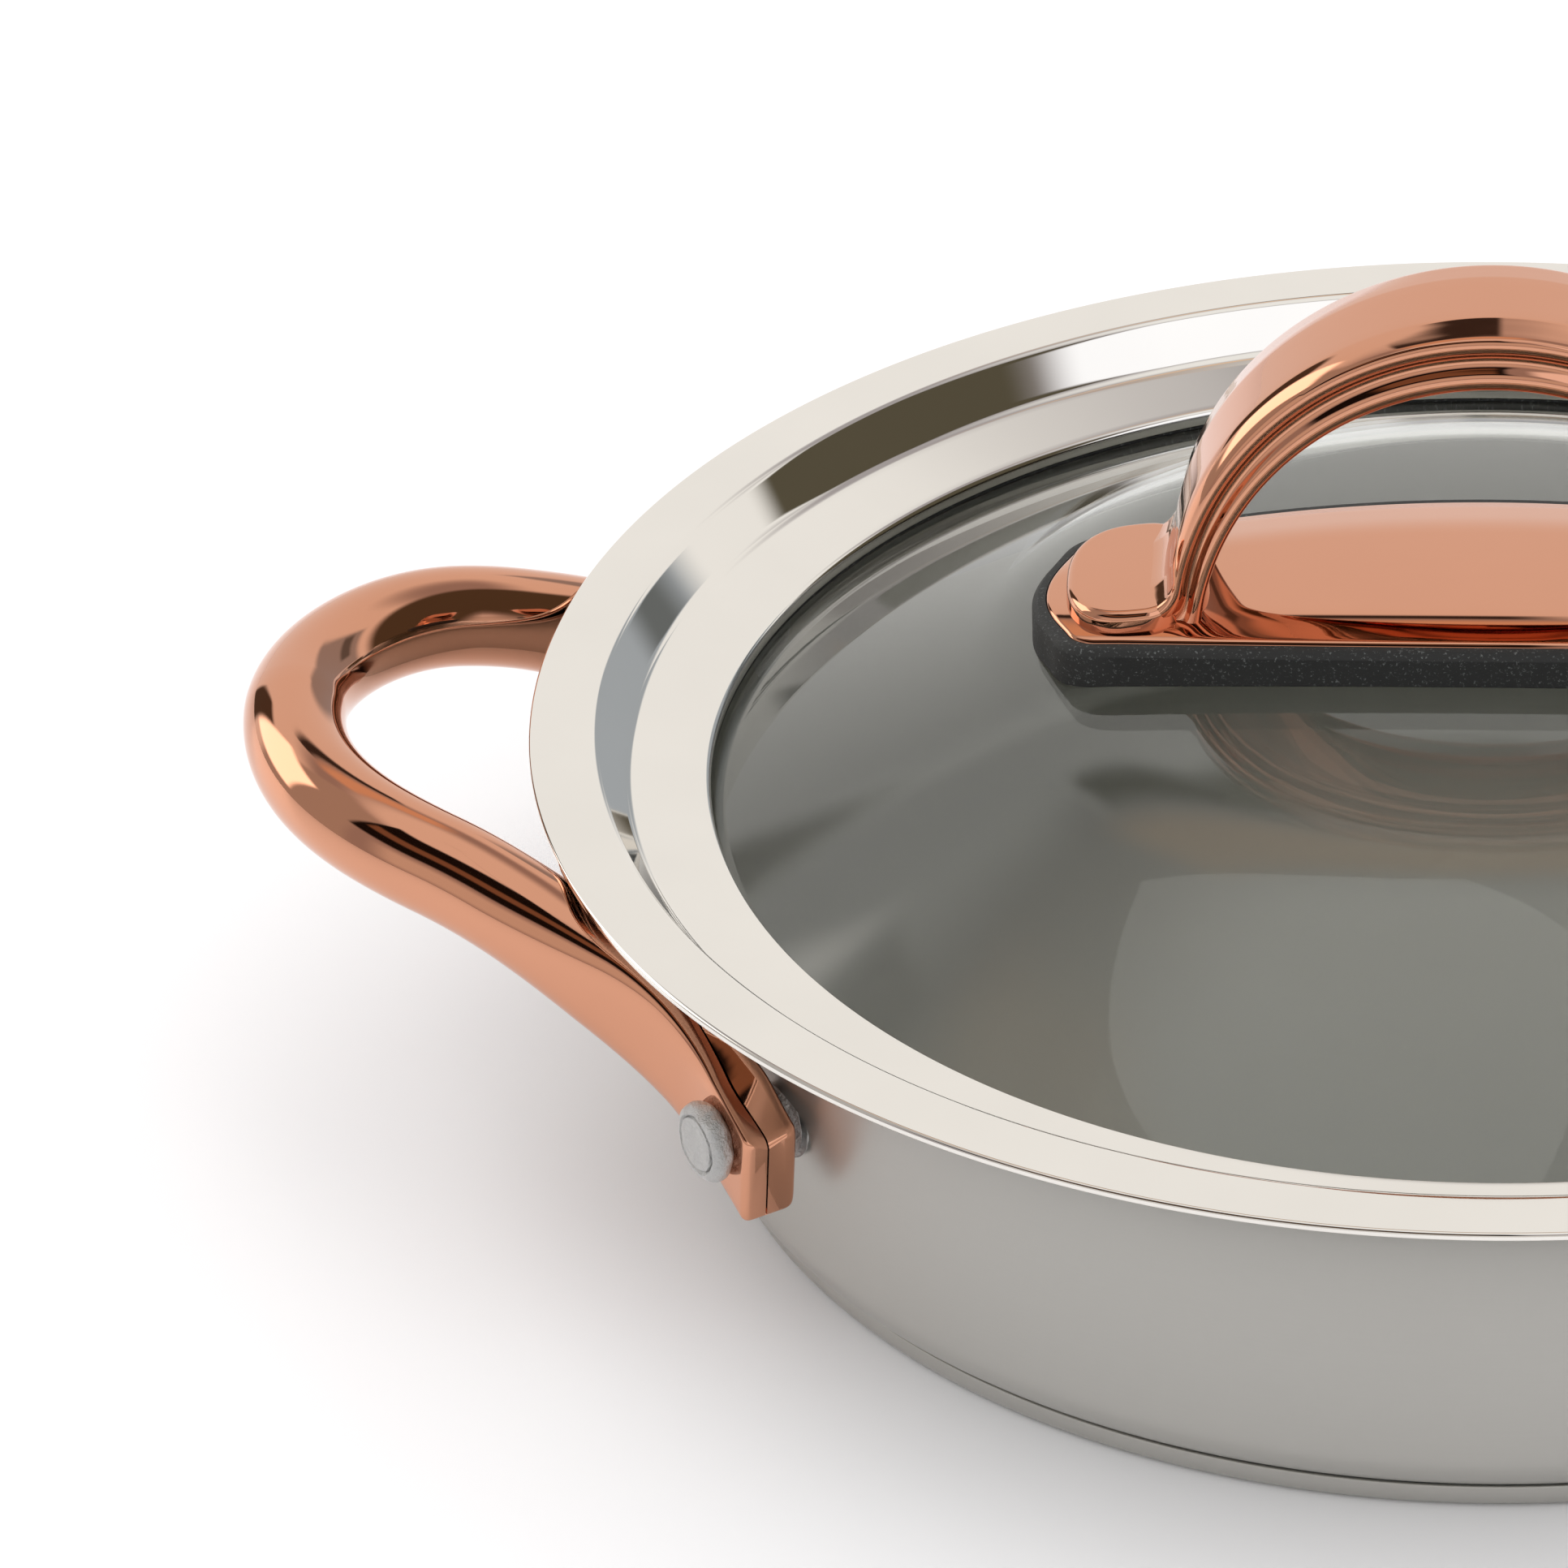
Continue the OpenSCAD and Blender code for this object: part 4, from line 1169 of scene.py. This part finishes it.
# %% [markdown]
# The pad is soft silicone between metal and glass. It starts in the middle of its underside,
# spreads over the glass, climbs its wall, turns a small chamfer, and then drops into the pocket
# that holds the plate. Written in that order, its rings never cross each other.

# %% Silicone pad
CORNER_IN, CORNER_OUT = 5.0, 6.5
GASKET_WALL, GASKET_LOW = 1.9, 0.3
CHAMFER, POCKET_PLAY = 0.7, 0.05
pad_top = -GASKET_LOW
outer_line = barrel(PLATE_HALF[0] + GASKET_WALL, PLATE_HALF[1] + GASKET_WALL, CORNER_OUT)
pocket_line = barrel(PLATE_HALF[0] + POCKET_PLAY, PLATE_HALF[1] + POCKET_PLAY, CORNER_IN)
rings = filling(outer_line, np.linspace(0.05, 0.99, 12), on_glass)
rings += [at_heights(outer_line, on_glass, 0.25),
          at_heights(outer_line, on_ball(pad_top - CHAMFER - 0.25)),
          at_heights(inset(outer_line, 0.15), on_ball(pad_top - CHAMFER)),
          at_heights(inset(outer_line, CHAMFER), on_ball(pad_top - 0.08)),
          at_heights(inset(outer_line, CHAMFER + 0.2), on_ball(pad_top)),
          at_heights(pocket_line, on_ball(pad_top))]
rings += filling(pocket_line, np.linspace(1, 0.05, 12), on_ball(-PLATE_T))
pad = stack("silicone_pad", rings, black_silicone, 30)
hand_over(pad, "lid", "black_silicone", "lid_gasket")

# %% [markdown]
# The plate is pressed from sheet: slightly domed, with a rounded upper edge. Its long sides bend
# down a little before they reach the edge. On polished metal that shows as a soft darker border,
# and custom normals are enough for it.

# %% Copper plate
PLATE_EDGE = 0.55
SIDE_BEND, SIDE_FLAT, SIDE_WIDTH = 0.2, 4.0, 10.0
EDGE_BEND, EDGE_WIDTH = 0.3, 2.5
plate_line = barrel(*PLATE_HALF, CORNER_IN)
rings = filling(plate_line, np.linspace(0.05, 1, 12), on_ball(-PLATE_T))
rings += round_edge(plate_line, PLATE_EDGE, 0, 6)
rings += filling(inset(plate_line, PLATE_EDGE), np.linspace(0.985, 0.03, 30), on_ball())
plate = stack("copper_plate", rings, copper_finish)


def plate_normal(place, n):
    """The plate's long sides bend down softly before they reach the edge."""
    x, y = to_handle(place[0], place[1])
    inside = bowed_side(PLATE_HALF[1], x) - abs(y)
    if n[2] <= 0.7:
        return n
    soft = SIDE_BEND * (1 - ease(SIDE_FLAT, SIDE_WIDTH, inside))
    at_edge = EDGE_BEND * (1 - ease(0, EDGE_WIDTH, inside)) ** 2
    return n + ACROSS * math.copysign(soft + at_edge, y)


bend_normals(plate, plate_normal)
hand_over(plate, "lid", "copper_finish", "lid_handle_plate")

# %% [markdown]
# The arch is one section carried round from foot to foot. Seen end on, the section has a crowned
# top with a narrow bevel on each side, then a bead, a cove, a band and a thin lip; below, it is
# hollow. Each point of the section is a share of the half width and a share of the way from the
# outer line to the inner one. Towards the feet the section widens and flares out.

# %% Arch
ARCH_OUT_R, ARCH_OUT_Z, ARCH_IN_R, ARCH_IN_Z = 43.0, 76.9, 38.8, 72.5
CROWN_W, LEG_W = 22.0, 24.0
FOOT_FILLET, FOOT_TOP, PAD_T, PAD_X, PAD_HALF = 4.5, 78.6, 2.8, 47.5, (9.5, 12.8)
ARCH_END, ARCH_STEPS = 6, 160
CROWN = [(0.0, 0), (0.3, 0), (0.49, 0), (0.52, 0.002), (0.55, 0.008)]
BEVEL = [(0.62, 0.021), (0.69, 0.034), (0.76, 0.048), (0.83, 0.061), (0.9, 0.074), (0.95, 0.085)]
BEAD = [(0.975, 0.1), (0.99, 0.13), (1, 0.19), (1, 0.25), (0.985, 0.31), (0.955, 0.355)]
COVE = [(0.915, 0.4), (0.885, 0.455), (0.875, 0.52), (0.885, 0.585), (0.915, 0.64), (0.95, 0.68)]
BAND = [(0.97, 0.72), (0.98, 0.79), (0.98, 0.86), (0.972, 0.91), (0.955, 0.95), (0.93, 0.985)]
LIP_AND_HOLLOW = [(0.9, 1), (0.87, 0.995), (0.82, 0.96), (0.7, 0.87), (0.5, 0.78), (0.25, 0.745), (0, 0.735)]
HALF_ARCH = CROWN + BEVEL + BEAD + COVE + BAND + LIP_AND_HOLLOW


def flare(z):
    """How far the arch's outer line runs out at its feet."""
    h = max(z - FOOT_TOP, 0)
    if h > FOOT_FILLET:
        return 0
    return FOOT_FILLET - math.sqrt(max(0, FOOT_FILLET ** 2 - (FOOT_FILLET - h) ** 2))


def arch_point(w, q):
    """Point q of the section where the arch has come round to angle w."""
    c, n = math.cos(math.radians(w)), math.sin(math.radians(w))
    out_z = ARCH_OUT_Z + ARCH_OUT_R * n
    a = np.array([ARCH_OUT_R * c + math.copysign(flare(out_z), c), out_z])
    b = np.array([ARCH_IN_R * c, ARCH_IN_Z + ARCH_IN_R * n])
    half_w = (CROWN_W + (LEG_W - CROWN_W) * abs(c) ** 4) / 2
    p = a + (b - a) * q[1]
    return (p[0], q[0] * half_w, p[1])


section = HALF_ARCH + [(-u, v) for u, v in HALF_ARCH[-2:0:-1]]
fillet_heights = [FOOT_TOP + FOOT_FILLET * (1 - math.sin(math.radians(b))) for b in range(90, -1, -6)]
foot_ways = [-ARCH_END, -1] + [math.degrees(math.asin((z - ARCH_OUT_Z) / ARCH_OUT_R)) for z in fillet_heights]
above_feet = np.linspace(foot_ways[-1], 180 - foot_ways[-1], ARCH_STEPS + 1)[1:-1]
ways = foot_ways + list(above_feet) + [180 - w for w in foot_ways[::-1]]
rings = [[arch_point(w, q) for q in section] for w in ways]
arch = stack("grab_arch", rings, copper_finish, 50)

# %% [markdown]
# A foot is a tongue that lies on the plate, with its upper edge rounded. It is solid, and the arch
# runs down into it, so the two meshes only need to be put together: no cutting is called for.

# %% Feet
EDGE_R, TONGUE_POWER = 1.2, 0.8
FOOT_OVERLAP = 0.02
feet = []
for side in (-1, 1):
    tongue = tongue_outline(side, PAD_X, PAD_HALF, TONGUE_POWER, 96)
    rings = filling(tongue, (0.05, 0.5, 1), on_ball(-FOOT_OVERLAP), side * PAD_X)
    rings += round_edge(tongue, EDGE_R, PAD_T, 8, -1)
    rings += filling(inset(tongue, EDGE_R, -1), np.linspace(0.97, 0.05, 12), on_ball(PAD_T), side * PAD_X)
    feet.append(stack("foot", rings, copper_finish, 50))


def join(target, others):
    """One mesh from several: the others' faces are added to the target's."""
    shape = bmesh.new()
    shape.from_mesh(target.data)
    for other in others:
        shape.from_mesh(other.data)
        bpy.data.objects.remove(other)
    shape.to_mesh(target.data)
    shape.free()


join(arch, feet)
arch.data.set_sharp_from_angle(angle=math.radians(50))

# %% [markdown]
# The narrow bevels beside the crown turn more and more towards the sides as they come down the
# legs. It shows only in what they mirror, so custom normals do it here too.

# %% Bevels of the arch
BEVEL_TURN, BEVEL_DEPTH = 0.55, 1.1


def arch_normal(place, n):
    """Down the legs the bevels turn more and more towards the sides."""
    x, y = to_handle(place[0], place[1])
    away = math.hypot(x, place[2] - ARCH_OUT_Z)
    if place[2] < FOOT_TOP + FOOT_FILLET or away < ARCH_OUT_R - BEVEL_DEPTH or abs(n[1]) > 0.6:
        return n
    bend = BEVEL_TURN * ease(0.15, 0.8, abs(x) / away) * ease(0.5, 1, abs(y) / (CROWN_W / 2))
    return n + ACROSS * math.copysign(bend, y)


bend_normals(arch, arch_normal)
hand_over(arch, "lid", "copper_finish", "lid_handle")

# %% [markdown]
# ## What holds the handle
# Two screws come up through the glass. Each has a soft sleeve in the glass and a dished washer
# under its head. They repeat, so a third tree leans one of each to either side of the dome.

# %% Tree for the pair on the dome
pair = new_tree("pair_on_dome", [("Tilt", NUMBER), ("Turn", NUMBER), ("Centre", NUMBER),
                                 ("Material", MATERIAL)])
given = put(pair, "NodeGroupInput")
number = put(pair, "GeometryNodeInputIndex").outputs[0]
left_or_right = tree_math(pair, "SUBTRACT", tree_math(pair, "MULTIPLY", number, 2.0), 1.0)
lean = tree_math(pair, "MULTIPLY", left_or_right, given.outputs["Tilt"])
centre = put(pair, "ShaderNodeCombineXYZ", {}, {2: given.outputs["Centre"]})
facing = put(pair, "ShaderNodeCombineXYZ", {}, {0: 0.0, 1: lean, 2: given.outputs["Turn"]})
two = copies_at(pair, given, 2, centre.outputs[0], facing.outputs[0])
close_tree(pair, two, given.outputs["Material"])
print("the pair tree has", len(pair.nodes), "nodes")

# %% [markdown]
# The three profiles lie along a line from the dome's centre outwards, so a height in them is a
# distance from that centre, and each piece starts where the one below it ends.

# %% Screws, sleeves and washers
SCREW_TILT, SCREW_R, SCREW_LEN = 7.6, 2.5, 13
SOCKET_R, SOCKET_END, HEAD_END = 1.8, 1.2, 3
HOLE_R, GROMMET_T, GROMMET_R = 4.0, 1.0, 7
CUP_T, CUP_LOW_R, CUP_TOP_R = 1.4, 4.8, 6.6
IN_R = DOME_R - GLASS_T
washer_z = IN_R - GROMMET_T
screw_z = IN_R - GROMMET_T - CUP_T
clear_r, in_hole = SCREW_R + 0.1, HOLE_R - 0.05
glass_top = IN_R + GLASS_T - 0.1
screw_outline = [
    (0, screw_z - SOCKET_END), (SOCKET_R, screw_z - SOCKET_END), (SOCKET_R, screw_z - HEAD_END),
    (3.4, screw_z - HEAD_END), (3.8, screw_z - 2.8), (4.6, screw_z), (SCREW_R, screw_z),
    (SCREW_R, screw_z + SCREW_LEN), (0, screw_z + SCREW_LEN)]
sleeve_outline = [
    (clear_r, washer_z), (GROMMET_R, washer_z), (GROMMET_R, IN_R - 0.12), (in_hole, IN_R - 0.12),
    (in_hole, glass_top), (clear_r, glass_top)]
washer_outline = [
    (clear_r, washer_z - CUP_T), (CUP_LOW_R, washer_z - CUP_T), (CUP_TOP_R, washer_z - 0.6),
    (CUP_TOP_R, washer_z), (clear_r, washer_z)]
for name, outline, finish, slot, node in (
        ("screws", screw_outline, screw_steel, "screw_steel", "lid_screw"),
        ("sleeves", sleeve_outline, black_silicone, "black_silicone", "lid_grommet"),
        ("cup_washers", washer_outline, mirror_steel, "mirror_steel", "cup_washer")):
    one = turn(name, rounded(outline, 0.2, 3), finish, 64, 40, ON_AXIS)
    run_tree(one, pair, finish, 40, tilt=math.radians(SCREW_TILT), turn=ON_LID,
             centre=DOME_C * MM, material=finish)
    hand_over(one, "lid", slot, f"left_{node}", f"right_{node}")

# %% [markdown]
# ## What stays as it is
# The aluminium disc is shut in under the pan's steel cap. Its solid is kept and gets its finish.

# %% Kept solids
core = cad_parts["base_core"]
core.data.materials.clear()
core.data.materials.append(core_aluminium)
print("kept:", core.name)

# %% [markdown]
# ## The lamp
# One large lamp hangs over the object, a little to the left, and gives it its soft shadow. A lamp
# this size would show as a hard-edged patch in the glass, so glossy surfaces do not see it.

# %% Lamp
LAMP_AT, LAMP_AIM = Vector((-0.3, -0.1, 1.5)), Vector((0, 0, 0.05))
lamp = bpy.data.lights.new("lamp_over", "AREA")
lamp.shape, lamp.size, lamp.size_y = "RECTANGLE", 1.6, 1.2
lamp.energy, lamp.color = 6, (1.0, 0.985, 0.96)
lamp_object = bpy.data.objects.new("lamp_over", lamp)
lamp_turn = (LAMP_AIM - LAMP_AT).to_track_quat("-Z", "Y").to_matrix().to_4x4()
lamp_object.matrix_world = Matrix.Translation(LAMP_AT) @ lamp_turn
lamp_object.visible_glossy = False
bpy.context.scene.collection.objects.link(lamp_object)
print(f"lamp: {lamp.size:.1f} by {lamp.size_y:.1f} m")
